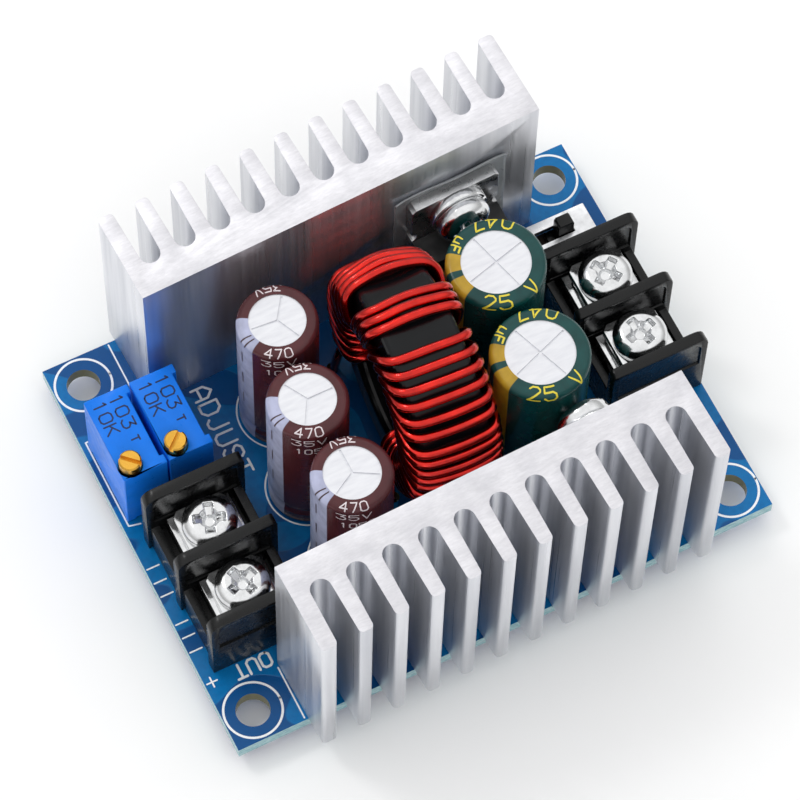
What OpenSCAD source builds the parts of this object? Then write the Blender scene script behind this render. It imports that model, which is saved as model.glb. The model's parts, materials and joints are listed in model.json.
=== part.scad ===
// Buck converter module: a 60 mm board with two finned heatsinks, a toroid
// inductor stood on edge, five electrolytic capacitors, two screw terminals,
// two trimmers and a slide switch.
// Origin: centre of the board, at the height of the trimmed lead tips below it.
// +X runs from the output terminal to the input terminal, +Z is up.

/* [Board] */
// Length of the board along X
board_l = 60; // [56:0.5:70]
// Thickness of the board
board_t = 1.6; // [1:0.1:2.4]
// Diameter of the four fixing holes
fixing_d = 3.5; // [3:0.1:4]
// Distance from a fixing hole's centre to the short edge of the board
fixing_inset_x = 3.15; // [2.9:0.05:3.4]
// Distance from a fixing hole's centre to the long edge of the board
fixing_inset_y = 3.25; // [2.9:0.05:3.4]
// How far the trimmed leads stand below the board
lead_drop = 1.7; // [1.65:0.05:3]

/* [Heatsinks] */
// Length of each heatsink along X
sink_l = 44.3; // [43.8:0.1:44.8]
// Height of each heatsink
sink_h = 24.2; // [21:0.2:30]
// Angle by which the rear heatsink stands turned about the vertical
rear_sink_turn = 2.1; // [0:0.1:2.4]
// Angle by which the front heatsink stands turned about the vertical
front_sink_turn = 1.5; // [0:0.1:1.8]
// X position of the rear heatsink's middle
rear_sink_x = 0.6; // [0.4:0.05:0.8]
// X position of the front heatsink's middle
front_sink_x = -0.35; // [-0.6:0.05:0]
// Distance from the board's long edge in to the flat face of a heatsink
sink_inset = 7.4; // [7:0.1:7.6]
// Gap between the front heatsink's flat face and the output terminal
sink_terminal_gap = 1.8; // [1.4:0.05:2]
// Gap between the rear heatsink's flat face and the trimmers
sink_trimmer_gap = 1.275; // [1:0.025:1.5]
// Thickness of the heatsink's base plate
sink_base_t = 3; // [2.9:0.1:3.4]
// Length of the fins beyond the base plate
fin_l = 6.8; // [4:0.2:10]
// Number of fins
fin_count = 12; // [8:1:12]
// Distance from one fin to the next
fin_pitch = 3.86; // [3.5:0.02:3.86]
// Width of the slot between two fins at its round root
slot_root_w = 2.15; // [1.6:0.05:2.3]
// Width of the slot between two fins at its mouth
slot_tip_w = 2.4; // [2.3:0.05:2.5]
// Rounding of the fins' corners
fin_round = 0.45; // [0.2:0.05:0.5]
// Diameter of a heatsink's solder pins
sink_pin_d = 1.5; // [1.2:0.1:1.8]
// Distance between a heatsink's two solder pins
sink_pin_pitch = 35; // [28:1:38]

/* [Power devices] */
// Distance of the transistor from the rear heatsink's middle
transistor_x = 12.05; // [11.8:0.05:12.3]
// Distance of the rectifier from the front heatsink's middle
rectifier_x = 13.65; // [13.3:0.05:13.8]
// Width of a device's tab and body
device_w = 9.9; // [9.5:0.1:10.3]
// Height of a device's moulded body
device_body_h = 9.2; // [8.8:0.1:9.6]
// Depth of a device's moulded body from the back of its tab
device_body_t = 4.4; // [4.2:0.05:4.5]
// Height of the bare tab above the moulded body
device_tab_h = 6.2; // [5.9:0.1:6.6]
// Thickness of the tab
device_tab_t = 1.3; // [1:0.05:1.45]
// Height of the moulded body's lower face above the board
device_lift = 2.6; // [2.2:0.1:3.4]
// Distance between two leads of a device
device_lead_pitch = 2.54; // [2.4:0.02:2.6]
// Thickness of the insulating pad behind a tab
pad_t = 0.2; // [0.1:0.05:0.25]
// Width of the insulating pad
pad_w = 12.8; // [11.5:0.1:13.2]
// Height of the insulating pad
pad_h = 17.6; // [16.8:0.1:18.2]

/* [Inductor] */
// Outer diameter of the ring core
core_od = 22.9; // [21:0.1:23.4]
// Bore diameter of the ring core
core_id = 14; // [13.6:0.1:14.6]
// Width of the ring core along its axis
core_w = 7.6; // [6.6:0.1:7.9]
// Rounding of the core's edges
core_round = 0.8; // [0.4:0.1:1.2]
// Diameter of the enamelled wire
wire_d = 0.96; // [0.8:0.02:0.97]
// X position of the core's centre
coil_x = 1.15; // [0.9:0.05:1.4]
// Y position of the core's centre
coil_y = 0.8; // [0.2:0.1:1.4]
// Angle by which the core stands turned about the vertical
coil_turn = -3.8; // [-5:0.2:-2]

/* [Output capacitors] */
// Diameter of an output capacitor over its sleeve
output_cap_d = 8.2; // [7.8:0.1:8.6]
// Height of an output capacitor above the board
output_cap_h = 20.6; // [16:0.2:23]
// Gap between two output capacitors along Y
output_cap_gap = 0.75; // [0.65:0.05:0.9]
// X position of the output capacitors' row
output_cap_x = -10.7; // [-11:0.05:-10.4]
// Y position of the middle output capacitor
output_cap_y = -0.45; // [-0.6:0.05:-0.2]

/* [Input capacitors] */
// Diameter of an input capacitor over its sleeve
input_cap_d = 10.1; // [9.6:0.1:10.2]
// Height of an input capacitor above the board
input_cap_h = 20; // [16:0.2:23]
// Gap between the two input capacitors along Y
input_cap_gap = 0.65; // [0.5:0.05:0.8]
// X position of the input capacitors' pair
input_cap_x = 11.9; // [11.7:0.05:12.1]
// Gap between the front input capacitor and the rectifier's body
rectifier_cap_gap = 0.05; // [0.05:0.025:0.3]
// Gap between the rear input capacitor and the transistor's body
transistor_cap_gap = 1.385; // [1.3:0.005:1.6]

/* [Screw terminals] */
// Distance between the two poles of a terminal
pole_pitch = 7.5; // [7.2:0.05:7.7]
// Thickness of a terminal's partitions
partition_t = 1.2; // [0.9:0.05:1.35]
// Depth of a terminal block along X
block_depth = 10.8; // [10.4:0.1:11.2]
// Height of a terminal's partitions above the board
block_h = 11; // [9.5:0.1:13]
// Gap from the output terminal's outer edge to the board's edge
output_block_gap = 1.4; // [1:0.1:1.6]
// Gap from the input terminal's outer edge to the board's edge
input_block_gap = 0.1; // [0:0.05:0.6]
// Y position of the input terminal
input_block_y = 0; // [-0.3:0.05:0.3]
// Side of the square wire clamps
clamp_side = 5.9; // [5.4:0.1:6]
// Thickness of the wire clamps
clamp_t = 0.9; // [0.7:0.05:1.1]
// Diameter of the clamp screws' heads
clamp_head_d = 5.6; // [5:0.1:5.8]
// Outer diameter of the clamp screws' thread
clamp_thread_d = 3; // [2.8:0.05:3.1]
// How far the output terminal's clamps stand open
output_clamp_open = 0.3; // [0.2:0.1:1.6]
// How far the input terminal's clamps stand open
input_clamp_open = 1.1; // [0.2:0.1:1.6]

/* [Trimmers] */
// Width of a trimmer along X
trimmer_w = 4.8; // [4.6:0.05:4.95]
// Length of a trimmer along Y
trimmer_l = 9.55; // [9.3:0.05:9.8]
// Height of a trimmer's case above the board
trimmer_h = 10.2; // [9.5:0.1:11]
// Gap between the two trimmers
trimmer_gap = 0.2; // [0.1:0.05:0.4]
// Diameter of the trimmer's brass screw
trimmer_screw_d = 2.3; // [2:0.05:2.5]
// How far the brass screw stands above the case
trimmer_screw_up = 1.3; // [0.8:0.1:1.6]

/* [Slide switch] */
// Length of the switch along X
switch_l = 8.4; // [8:0.1:8.8]
// Width of the switch along Y
switch_w = 3.6; // [3.4:0.05:3.7]
// Height of the switch's metal cover above the board
switch_h = 3.7; // [3.3:0.1:4.2]
// Thickness of the cover's sheet
switch_sheet = 0.3; // [0.2:0.05:0.35]
// Width of the knob along its travel
knob_w = 1.75; // [1.4:0.05:1.9]
// Travel of the knob
knob_travel = 2; // [1.6:0.1:2.1]
// Gap between the rear heatsink's flat face and the switch
sink_switch_gap = 2.1; // [1.9:0.05:2.4]
// Distance from the switch's middle to the short edge of the board
switch_inset = 6.5; // [6.3:0.05:6.7]
// Height of the knob above the cover
knob_up = 1.9; // [1.5:0.1:3]

/* [Hidden] */
$fn = 48;

// Heights shared by everything that stands on the board
board_low = lead_drop;
board_top = lead_drop + board_t;

// Clearances: moving shafts, leads in their holes, cut-through margin
running_gap = 0.05;
lead_gap = 0.12;
cut = 1;

// ---------- Board measures ----------
// The two input capacitors and the two power devices fill the room between the heatsinks
device_depth = pad_t + device_body_t;
device_room = 2 * device_depth + 2 * input_cap_d + input_cap_gap + rectifier_cap_gap + transistor_cap_gap;
sink_y = (device_room - transistor_x * sin(rear_sink_turn) + rectifier_x * sin(front_sink_turn)) / 2;
board_w = 2 * (sink_y + sink_inset);

// ---------- Leads, their holes and their solder ----------
// A lead is [x, y, width, thickness, angle]; a thickness of 0 means a round wire.
function lead_r(lead) = lead[3] == 0 ? lead[2] / 2 : norm([lead[2], lead[3]]) / 2;
function hole_r(lead) = lead_r(lead) + lead_gap;

module lead_bar(lead, low, high) {
  translate([lead[0], lead[1], low])
    if (lead[3] == 0) cylinder(d = lead[2], h = high - low);
    else rotate(lead[4]) translate([-lead[2] / 2, -lead[3] / 2, 0])
      cube([lead[2], lead[3], high - low]);
}

// ---------- Heatsink measures ----------
slot_count = fin_count - 1;
sink_depth = sink_base_t + fin_l;
// Both heatsinks' outermost corners stand equally far from the middle of the board
function sink_reach(turn) = (sink_depth - fin_round) * cos(turn)
  + (sink_l / 2 - fin_round) * sin(turn) + fin_round;
sink_shift = (sink_reach(front_sink_turn) - sink_reach(rear_sink_turn)) / 2;
rear_sink_y = sink_y + sink_shift;
front_sink_y = -sink_y + sink_shift;
// Place in plan of a point at x along a heatsink and at a depth from its flat face
function rear_point(x, depth) =
  [rear_sink_x + x * cos(rear_sink_turn) - depth * sin(rear_sink_turn),
   rear_sink_y + x * sin(rear_sink_turn) + depth * cos(rear_sink_turn)];
function front_point(x, depth) =
  [front_sink_x + x * cos(front_sink_turn) + depth * sin(front_sink_turn),
   front_sink_y + x * sin(front_sink_turn) - depth * cos(front_sink_turn)];
sink_pin_depth = 5;
sink_tap_d = 3;
sink_tap_depth = 2.9;

function round_lead(place, d) = [place[0], place[1], d, 0, 0];
function sink_leads() = [for (s = [-1, 1])
  each [round_lead(rear_point(s * sink_pin_pitch / 2, sink_base_t / 2), sink_pin_d),
    round_lead(front_point(s * sink_pin_pitch / 2, sink_base_t / 2), sink_pin_d)]];

// ---------- Power device measures ----------
device_top = board_top + device_lift + device_body_h + device_tab_h;
device_hole_inset = 2.8;
device_hole_z = device_top - device_hole_inset;
device_hole_d = 3.6;
device_back_y = -pad_t;
device_lead_inset = 2.6;
device_lead_y = device_back_y - device_lead_inset;
device_lead_w = 0.8;
device_lead_t = 0.5;
washer_d = 6.2;
washer_t = 0.95;
washer_split = 0.5;
device_screw_head_d = 5.8;
device_screw_head_h = 2;

function flat_lead(place, turn) = [place[0], place[1], device_lead_w, device_lead_t, turn];
function device_leads() = [for (i = [-1, 0, 1])
  each [flat_lead(rear_point(transistor_x + i * device_lead_pitch, device_lead_y), rear_sink_turn),
    flat_lead(front_point(rectifier_x + i * device_lead_pitch, device_lead_y), front_sink_turn)]];

// ---------- Inductor measures ----------
wire_sides = 8;
wire_gap = 0.08;
wire_r = wire_d / 2;
coil_z = board_top + core_od / 2 + wire_d + 0.07;
wire_out_r = core_od / 2 + wire_r + wire_gap;
wire_in_r = core_id / 2 - wire_r - wire_gap;
// Groups of turns on the outside of the ring: first angle, count, step in degrees,
// and how far their loops stand off the core's faces
turn_groups = [[36, 4, 6.5, 0.6], [77, 3, 6, 0.5], [105.5, 6, 7.8, 0.3], [155, 5, 6.5, 0.35],
  [195, 6, 7, 0.4]];
outer_angles = [for (g = turn_groups, i = [0:g[1] - 1]) g[0] + i * g[2]];
turn_slack = [for (g = turn_groups, i = [0:g[1] - 1]) g[3]];
turn_count = len(outer_angles);
last_slack = turn_slack[turn_count - 1];
// Half width of a loop and radius of its bends; the looser a loop, the wider it bends
function loop_half_w(slack) = core_w / 2 + wire_r + wire_gap + slack;
function loop_bend(slack) = core_round + wire_r + 1.45 * slack;
// Angle reached at radius r by a wire that crosses a face between two angles
function face_angle(r, inner, outer) =
  inner + (outer - inner) * (r - wire_in_r) / (wire_out_r - wire_in_r);
end_angle = 237;
inner_start = 29;
inner_step = 9.4;
// Where the two wire ends go down beside the core, in the core's own frame
lead_angle = 16;
first_bend_r = wire_out_r - loop_bend(turn_slack[0]);
first_bend_a = face_angle(first_bend_r, lead_angle, outer_angles[0]);
wire_lead_y = [first_bend_r * cos(first_bend_a) + 0.6 * wire_d, wire_out_r * cos(end_angle)];
wire_lead_x = [-loop_half_w(turn_slack[0]), -loop_half_w(last_slack)];

function turned(p) = [coil_x + p[0] * cos(coil_turn) - p[1] * sin(coil_turn),
  coil_y + p[0] * sin(coil_turn) + p[1] * cos(coil_turn)];
function inductor_leads() = [for (i = [0, 1])
  round_lead(turned([wire_lead_x[i], wire_lead_y[i]]), wire_d)];

// ---------- Capacitor measures ----------
cap_lead_d = 0.6;
output_cap_lead_pitch = 3.5;
input_cap_lead_pitch = 5;
// Sideways stagger of the capacitors in their rows
output_cap_stagger = [0.6, -0.5, -0.1];
input_cap_stagger = [0.32, -0.33];
input_cap_y = front_point(rectifier_x, -device_depth)[1] + rectifier_cap_gap + input_cap_d
  + input_cap_gap / 2;
output_cap_places = [for (i = [0:2]) [output_cap_x + output_cap_stagger[i],
  output_cap_y + (1 - i) * (output_cap_d + output_cap_gap)]];
input_cap_places = [for (i = [0:1]) [input_cap_x + input_cap_stagger[i],
  input_cap_y + (0.5 - i) * (input_cap_d + input_cap_gap)]];

function cap_leads(place, pitch) = [for (s = [-1, 1])
  round_lead([place[0] + s * pitch / 2, place[1]], cap_lead_d)];

// ---------- Terminal measures ----------
block_base_h = 3.2;
block_setback = 0.4;
wall_t = 0.9;
outer_wall_h = 4.5;
inner_wall_h = 5.4;
pedestal_h = 4.6;
contact_t = 1;
contact_l = 6.8;
contact_gap = 0.15;
pocket_w = pole_pitch - partition_t;
collar_d = clamp_thread_d + 1.2;
collar_h = 1.2;
leg_w = 2;
leg_t = 0.8;
pin_w = 1.2;
screw_drop = 5.4;
clamp_head_h = 2;
screw_well_floor = 0.7;
block_w = 2 * pole_pitch + partition_t;
output_block_y = front_point(-sink_l / 2, 0)[1] + sink_terminal_gap + block_w / 2;
output_block_x = -board_l / 2 + output_block_gap + block_depth / 2;
input_block_x = board_l / 2 - input_block_gap - block_depth / 2;
// The contact's leg stands at the end of the contact plate that faces the board's middle
leg_u = -contact_l / 2 + leg_t / 2;

function pole_y(i) = (i - 0.5) * pole_pitch;
function block_leads(x, y, side) = [for (i = [0, 1])
  [x + side * leg_u, y + pole_y(i), leg_t, pin_w, 0]];

// ---------- Trimmer measures ----------
trimmer_foot = 0.3;
trimmer_recess = 0.45;
trimmer_nub = 1;
trimmer_edge_gap = 0.7;
trimmer_low_y = rear_point(-sink_l / 2, 0)[1] - sink_trimmer_gap - trimmer_l;
trimmer_screw_inset_x = 1.3;
trimmer_screw_inset_y = 1.25;
trimmer_screw_in = 3;
trimmer_pin_d = 0.5;
trimmer_pin_pitch = 2.54;
resin_h = 1.6;
resin_wall = 0.5;
trimmer_x = [for (i = [0, 1]) -board_l / 2 + trimmer_edge_gap + i * (trimmer_w + trimmer_gap)];

function trimmer_leads(i) = [for (k = [-1, 0, 1])
  round_lead([trimmer_x[i] + (trimmer_w - trimmer_recess) / 2,
    trimmer_low_y + trimmer_l / 2 + k * trimmer_pin_pitch], trimmer_pin_d)];

// ---------- Switch measures ----------
switch_x = board_l / 2 - switch_inset;
switch_y = rear_point(sink_l / 2, 0)[1] - sink_switch_gap - switch_w / 2;
switch_base_h = 1.3;
switch_pin_pitch = 2.5;
switch_pin_w = 0.6;
switch_pin_t = 0.3;
knob_t = 1.3;
slot_margin = 0.1;
slider_t = 0.8;
slider_w = 2.2;
slider_l = knob_w + 1.6;

function switch_leads() = [for (k = [-1, 0, 1])
  [switch_x + k * switch_pin_pitch, switch_y, switch_pin_w, switch_pin_t, 0]];

// Every lead that goes through the board
all_leads = concat(
  sink_leads(), device_leads(), inductor_leads(),
  [for (p = output_cap_places) each cap_leads(p, output_cap_lead_pitch)],
  [for (p = input_cap_places) each cap_leads(p, input_cap_lead_pitch)],
  block_leads(output_block_x, output_block_y, -1), block_leads(input_block_x, input_block_y, 1),
  trimmer_leads(0), trimmer_leads(1), switch_leads());

// ---------- Board ----------
module board() {
  color("#0a5cab")
  difference() {
    translate([-board_l / 2, -board_w / 2, board_low]) cube([board_l, board_w, board_t]);
    for (sx = [-1, 1], sy = [-1, 1])
      translate([sx * (board_l / 2 - fixing_inset_x), sy * (board_w / 2 - fixing_inset_y),
        board_low - cut]) cylinder(d = fixing_d, h = board_t + 2 * cut);
    for (lead = all_leads) translate([lead[0], lead[1], board_low - cut])
      cylinder(r = hole_r(lead), h = board_t + 2 * cut);
  }
}

// One cone of solder round each lead, from the board down towards the lead's tip
solder_land = 0.42;
solder_neck = 0.12;
solder_tip = 0.3;
module solder_joints() {
  color("silver")
  for (lead = all_leads) {
    difference() {
      translate([lead[0], lead[1], solder_tip])
        cylinder(r1 = lead_r(lead) + solder_neck, r2 = hole_r(lead) + solder_land,
          h = board_low - solder_tip);
      lead_bar(lead, -cut, board_low + cut);
    }
  }
}

// ---------- Heatsinks ----------
// What the rounding takes off a fin's corner at the origin
module fin_corner() {
  difference() {
    translate([-fin_round, -fin_round]) square(fin_round + cut / 2);
    translate([-fin_round, -fin_round]) circle(r = fin_round);
  }
}

// Cross-section of the extrusion: flat face on y = 0, fins towards +y
module sink_profile() {
  slot_r = slot_root_w / 2;
  slot_foot = sink_base_t + slot_r;
  mouth = slot_tip_w / 2;
  difference() {
    translate([-sink_l / 2, 0]) square([sink_l, sink_depth]);
    for (i = [0:slot_count - 1]) translate([(i - (slot_count - 1) / 2) * fin_pitch, 0]) {
      translate([0, slot_foot]) circle(r = slot_r);
      polygon([[-slot_r, slot_foot], [slot_r, slot_foot], [mouth, sink_depth],
        [mouth, sink_depth + cut], [-mouth, sink_depth + cut], [-mouth, sink_depth]]);
      for (s = [-1, 1]) translate([s * mouth, sink_depth]) mirror([s > 0 ? 1 : 0, 0]) fin_corner();
    }
    for (s = [-1, 1]) translate([s * sink_l / 2, sink_depth]) mirror([s < 0 ? 1 : 0, 0]) fin_corner();
  }
}

// Both heatsinks are drawn with their flat face on y = 0, the power device in front of it
module on_rear() translate([rear_sink_x, rear_sink_y, 0]) rotate(rear_sink_turn) children();
module on_front()
  translate([front_sink_x, front_sink_y, 0]) rotate(front_sink_turn) mirror([0, 1, 0]) children();

// Length of extrusion with a tapped hole for the device at device_x
module heatsink(device_x) {
  color("#d0d3d8")
  difference() {
    translate([0, 0, board_top]) linear_extrude(sink_h) sink_profile();
    translate([device_x, -cut, device_hole_z]) rotate([-90, 0, 0])
      cylinder(d = sink_tap_d, h = sink_tap_depth + cut);
    for (s = [-1, 1]) translate([s * sink_pin_pitch / 2, sink_base_t / 2, board_top - cut])
      cylinder(d = sink_pin_d, h = sink_pin_depth + cut);
  }
}

module rear_heatsink() on_rear() heatsink(transistor_x);
module front_heatsink() on_front() heatsink(rectifier_x);

// Four steel pins pressed into the heatsinks and soldered to the board
module heatsink_pins() {
  color("silver")
  for (lead = sink_leads()) lead_bar(lead, 0, board_top + sink_pin_depth);
}

// ---------- Power devices ----------
// Each is drawn centred on x = 0, with the heatsink's flat face on y = 0
module device_pad() {
  color("#a9adb0")
  difference() {
    translate([-pad_w / 2, device_back_y, device_top + 1.3 - pad_h]) cube([pad_w, pad_t, pad_h]);
    translate([0, device_back_y - cut, device_hole_z]) rotate([-90, 0, 0])
      cylinder(d = device_hole_d, h = pad_t + 2 * cut);
  }
}

// Copper tab with its middle lead, and the two outer leads with their anchor heads
module device_frame() {
  body_low = board_top + device_lift;
  tab_low = body_low + 0.04 * device_body_h;
  head_top = tab_low + 0.17 * device_body_h;
  shoulder_low = board_top + 0.12 * device_lift;
  notch = 0.06 * device_w;
  shoulder_w = 1.6 * device_lead_w;
  waist_d = 0.12 * device_w;
  waist_z = device_hole_z - 0.28 * device_w;
  color("silver") {
    difference() {
      translate([-device_w / 2, device_back_y - device_tab_t, tab_low])
        cube([device_w, device_tab_t, device_top - tab_low]);
      translate([0, device_back_y - device_tab_t - cut, device_hole_z]) rotate([-90, 0, 0])
        cylinder(d = device_hole_d, h = device_tab_t + 2 * cut);
      for (s = [-1, 1]) {
        translate([s * device_w / 2, device_back_y - device_tab_t - cut, device_top]) rotate([0, 45, 0])
          translate([-notch / 2, 0, -notch / 2]) cube([notch, device_tab_t + 2 * cut, notch]);
        translate([s * device_w / 2, device_back_y - device_tab_t - cut, waist_z]) rotate([-90, 0, 0])
          cylinder(d = waist_d, h = device_tab_t + 2 * cut);
      }
    }
    translate([-shoulder_w / 2, device_lead_y - device_lead_t / 2, tab_low])
      cube([shoulder_w, device_lead_inset - device_tab_t + device_lead_t / 2, device_lead_t]);
    for (i = [-1, 0, 1]) translate([i * device_lead_pitch, 0, 0]) {
      lead_bar([0, device_lead_y, device_lead_w, device_lead_t, 0], 0, body_low);
      lead_bar([0, device_lead_y, shoulder_w, device_lead_t, 0], shoulder_low,
        i == 0 ? tab_low + device_lead_t / 2 : head_top);
    }
  }
}

module device_body() {
  front = device_back_y - device_body_t;
  low = board_top + device_lift;
  high = low + device_body_h;
  slope = 0.05 * device_body_h;
  dimple_d = 0.16 * device_w;
  dimple_depth = 0.03 * device_body_t;
  color("#1c1d20")
  difference() {
    translate([-device_w / 2, 0, 0]) rotate([90, 0, 90]) linear_extrude(device_w)
      polygon([[device_back_y, low], [device_back_y, high], [device_back_y - device_tab_t, high],
        [front, high - slope], [front, low + slope], [front + slope / 2, low]]);
    device_frame();
    translate([0, front + dimple_depth, low + device_body_h * 0.72]) rotate([90, 0, 0])
      cylinder(d = dimple_d, h = cut);
  }
}

// Split spring washer, pressed flat
module device_washer() {
  color("#cfd2d6")
  translate([0, device_back_y - device_tab_t, device_hole_z]) rotate([90, 0, 0])
    difference() {
      cylinder(d = washer_d, h = washer_t);
      translate([0, 0, -cut]) cylinder(d = sink_tap_d + 0.2, h = washer_t + 2 * cut);
      rotate(20) translate([0, 0, washer_t / 2]) rotate([25, 0, 0])
        translate([0, -washer_split / 2, -washer_t - cut])
          cube([washer_d, washer_split, 2 * (washer_t + cut)]);
    }
}

// Cross recesses: length and width of an arm as shares of the head's diameter
recess_long = 0.59;
recess_wide = 0.17;
// Domed pan head with a cross recess, its seat on z = 0
module pan_head(d, h) {
  recess_l = d * recess_long;
  recess_w = d * recess_wide;
  r = d / 2;
  steps = 6;
  rim = h * 0.45;
  difference() {
    rotate_extrude() polygon(concat([[0, 0], [r, 0], [r, rim]],
      [for (i = [1:steps]) let (a = 90 * i / steps) [r * (0.45 + 0.55 * cos(a)), rim + (h - rim) * sin(a)]],
      [[0, h]]));
    for (turn = [0, 90]) rotate(turn) translate([-recess_l / 2, -recess_w / 2, h * 0.4])
      cube([recess_l, recess_w, h]);
    translate([0, 0, h * 0.25]) cylinder(d1 = recess_w, d2 = recess_w * 1.8, h = h);
  }
}

module device_screw() {
  shank = washer_t + device_tab_t + pad_t + sink_tap_depth - 0.2;
  color("#c9ccd1")
  translate([0, device_back_y - device_tab_t - washer_t, device_hole_z]) rotate([90, 0, 0]) {
    rotate(20) pan_head(device_screw_head_d, device_screw_head_h);
    translate([0, 0, -shank]) cylinder(d = sink_tap_d - 2 * running_gap, h = shank + 0.1);
  }
}

module on_transistor() on_rear() translate([transistor_x, 0, 0]) children();
module on_rectifier() on_front() translate([rectifier_x, 0, 0]) children();

module transistor_pad() on_transistor() device_pad();
module transistor_frame() on_transistor() device_frame();
module transistor_body() on_transistor() device_body();
module transistor_washer() on_transistor() device_washer();
module transistor_screw() on_transistor() device_screw();
module rectifier_pad() on_rectifier() device_pad();
module rectifier_frame() on_rectifier() device_frame();
module rectifier_body() on_rectifier() device_body();
module rectifier_washer() on_rectifier() device_washer();
module rectifier_screw() on_rectifier() device_screw();

// ---------- Inductor ----------
// Ring with rounded edges, its axis along X once laid over
function corner_arc(u, v, r, from) = [for (i = [0:4]) let (a = from + i * 22.5)
  [u + r * cos(a), v + r * sin(a)]];

module inductor_core() {
  inner = core_id / 2 + core_round;
  outer = core_od / 2 - core_round;
  half = core_w / 2 - core_round;
  color("#26282b")
  translate([coil_x, coil_y, coil_z]) rotate([0, 0, coil_turn]) rotate([0, 90, 0])
    rotate_extrude() polygon(concat(
      corner_arc(outer, half, core_round, 0), corner_arc(inner, half, core_round, 90),
      corner_arc(inner, -half, core_round, 180), corner_arc(outer, -half, core_round, 270)));
}

// A point of the wire, from its place along the core's axis, its radius and its angle
function ring_point(x, r, a) = [x, r * cos(a), r * sin(a), a];
// Quarter bend between a straight run and a face of the core
bend_steps = [0, 22.5, 45, 67.5, 90];
function bend(sx, r_edge, sr, inner, outer, slack, flip) = let (b = loop_bend(slack))
  [for (t = bend_steps) let (s = flip ? 90 - t : t, r = r_edge + sr * (b - b * cos(s)))
    ring_point(sx * (loop_half_w(slack) - b + b * sin(s)), r, face_angle(r, inner, outer))];
// One turn: over the outside, down the +X face, back through the bore, up the -X face
function turn(outer, inner, next, slack, next_slack) = concat(
  [ring_point(0, wire_out_r, outer)],
  bend(1, wire_out_r, -1, inner, outer, slack, false),
  bend(1, wire_in_r, 1, inner, outer, slack, true),
  [ring_point(0, wire_in_r, inner)],
  bend(-1, wire_in_r, 1, inner, next, slack, false),
  bend(-1, wire_out_r, -1, inner, next, next_slack, true));
function next_angle(i) = i < turn_count - 1 ? outer_angles[i + 1] : end_angle;
function next_slack(i) = turn_slack[min(i + 1, turn_count - 1)];
wire_tip_z = -coil_z;
first_bend_z = first_bend_r * sin(first_bend_a);
first_lead = [for (z = [wire_tip_z, -core_od / 4, 0, first_bend_z - 1.2 * wire_d])
  [wire_lead_x[0], wire_lead_y[0], z, 90]];
first_bend = bend(-1, wire_out_r, -1, lead_angle, outer_angles[0], turn_slack[0], true);
last_lead = [[wire_lead_x[1], wire_lead_y[1], wire_out_r * sin(end_angle) - 0.2, 270],
  [wire_lead_x[1], wire_lead_y[1], wire_tip_z, 270]];
turns = [for (i = [0:turn_count - 1]) each turn(outer_angles[i], inner_start + i * inner_step,
  next_angle(i), turn_slack[i], next_slack(i))];
// The last turn stops on the -X face, just before its bend to the outside
turns_cut = [for (i = [0:len(turns) - 1 - len(bend_steps)]) turns[i]];
wire_path = concat(first_lead, first_bend, turns_cut,
  last_lead);

function unit(v) = v / norm(v);
function xyz(p) = [p[0], p[1], p[2]];
function tangent(i) = let (n = len(wire_path) - 1)
  unit(xyz(wire_path[min(i + 1, n)]) - xyz(wire_path[max(i - 1, 0)]));
// Ring of points round the wire at point i of its path
function wire_ring(i) = let (
    t = tangent(i), a = wire_path[i][3], ref = [0, -sin(a), cos(a)],
    b = unit(ref - (ref * t) * t), n = cross(b, t))
  [for (k = [0:wire_sides - 1]) let (w = 360 * (k + 0.5) / wire_sides)
    xyz(wire_path[i]) + wire_r * (cos(w) * n + sin(w) * b)];

module inductor_winding() {
  rings = len(wire_path);
  points = [for (i = [0:rings - 1]) each wire_ring(i)];
  walls = [for (i = [0:rings - 2], k = [0:wire_sides - 1]) let (m = (k + 1) % wire_sides)
    [i * wire_sides + k, i * wire_sides + m, (i + 1) * wire_sides + m, (i + 1) * wire_sides + k]];
  low_cap = [for (k = [wire_sides - 1:-1:0]) k];
  high_cap = [for (k = [0:wire_sides - 1]) (rings - 1) * wire_sides + k];
  color("#d4200c")
  translate([coil_x, coil_y, coil_z]) rotate([0, 0, coil_turn])
    polyhedron(points = points, faces = concat(walls, [low_cap, high_cap]), convexity = 20);
}

// ---------- Capacitors ----------
sleeve_t = 0.12;
cap_shoulder = 0.7;
cap_crimp_z = 2.6;
cap_crimp_depth = 0.45;
cap_bung_h = 1.5;
score_w = 0.22;
score_depth = 0.14;

// Outline of the can from its foot up to its shoulder; crimp is the depth of the rolled groove
function can_outline(r, h, crimp) = concat(
  [[r - 0.4, 0], [r - 0.12, 0.1], [r, 0.4]],
  [for (i = [0:8]) let (a = 180 * i / 8) [r - crimp * sin(a), cap_crimp_z - 0.8 + 1.6 * i / 8]],
  [for (i = [0:6]) let (a = 90 * i / 6)
    [r - cap_shoulder + cap_shoulder * cos(a), h - cap_shoulder + cap_shoulder * sin(a)]]);

// Sealed aluminium can with a scored vent on its top
module cap_can(place, d, h, arms, arm_turn) {
  r = d / 2 - sleeve_t;
  top = h - sleeve_t;
  color("#e8e8ea")
  translate([place[0], place[1], board_top])
    difference() {
      rotate_extrude() polygon(concat([[0, cap_bung_h]], [[r - 0.4, cap_bung_h]],
        can_outline(r, top, cap_crimp_depth), [[0, top]]));
      for (i = [0:arms - 1]) rotate(arm_turn + i * 360 / arms)
        translate([0, -score_w / 2, top - score_depth]) cube([r * 0.68, score_w, cut]);
    }
}

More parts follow.
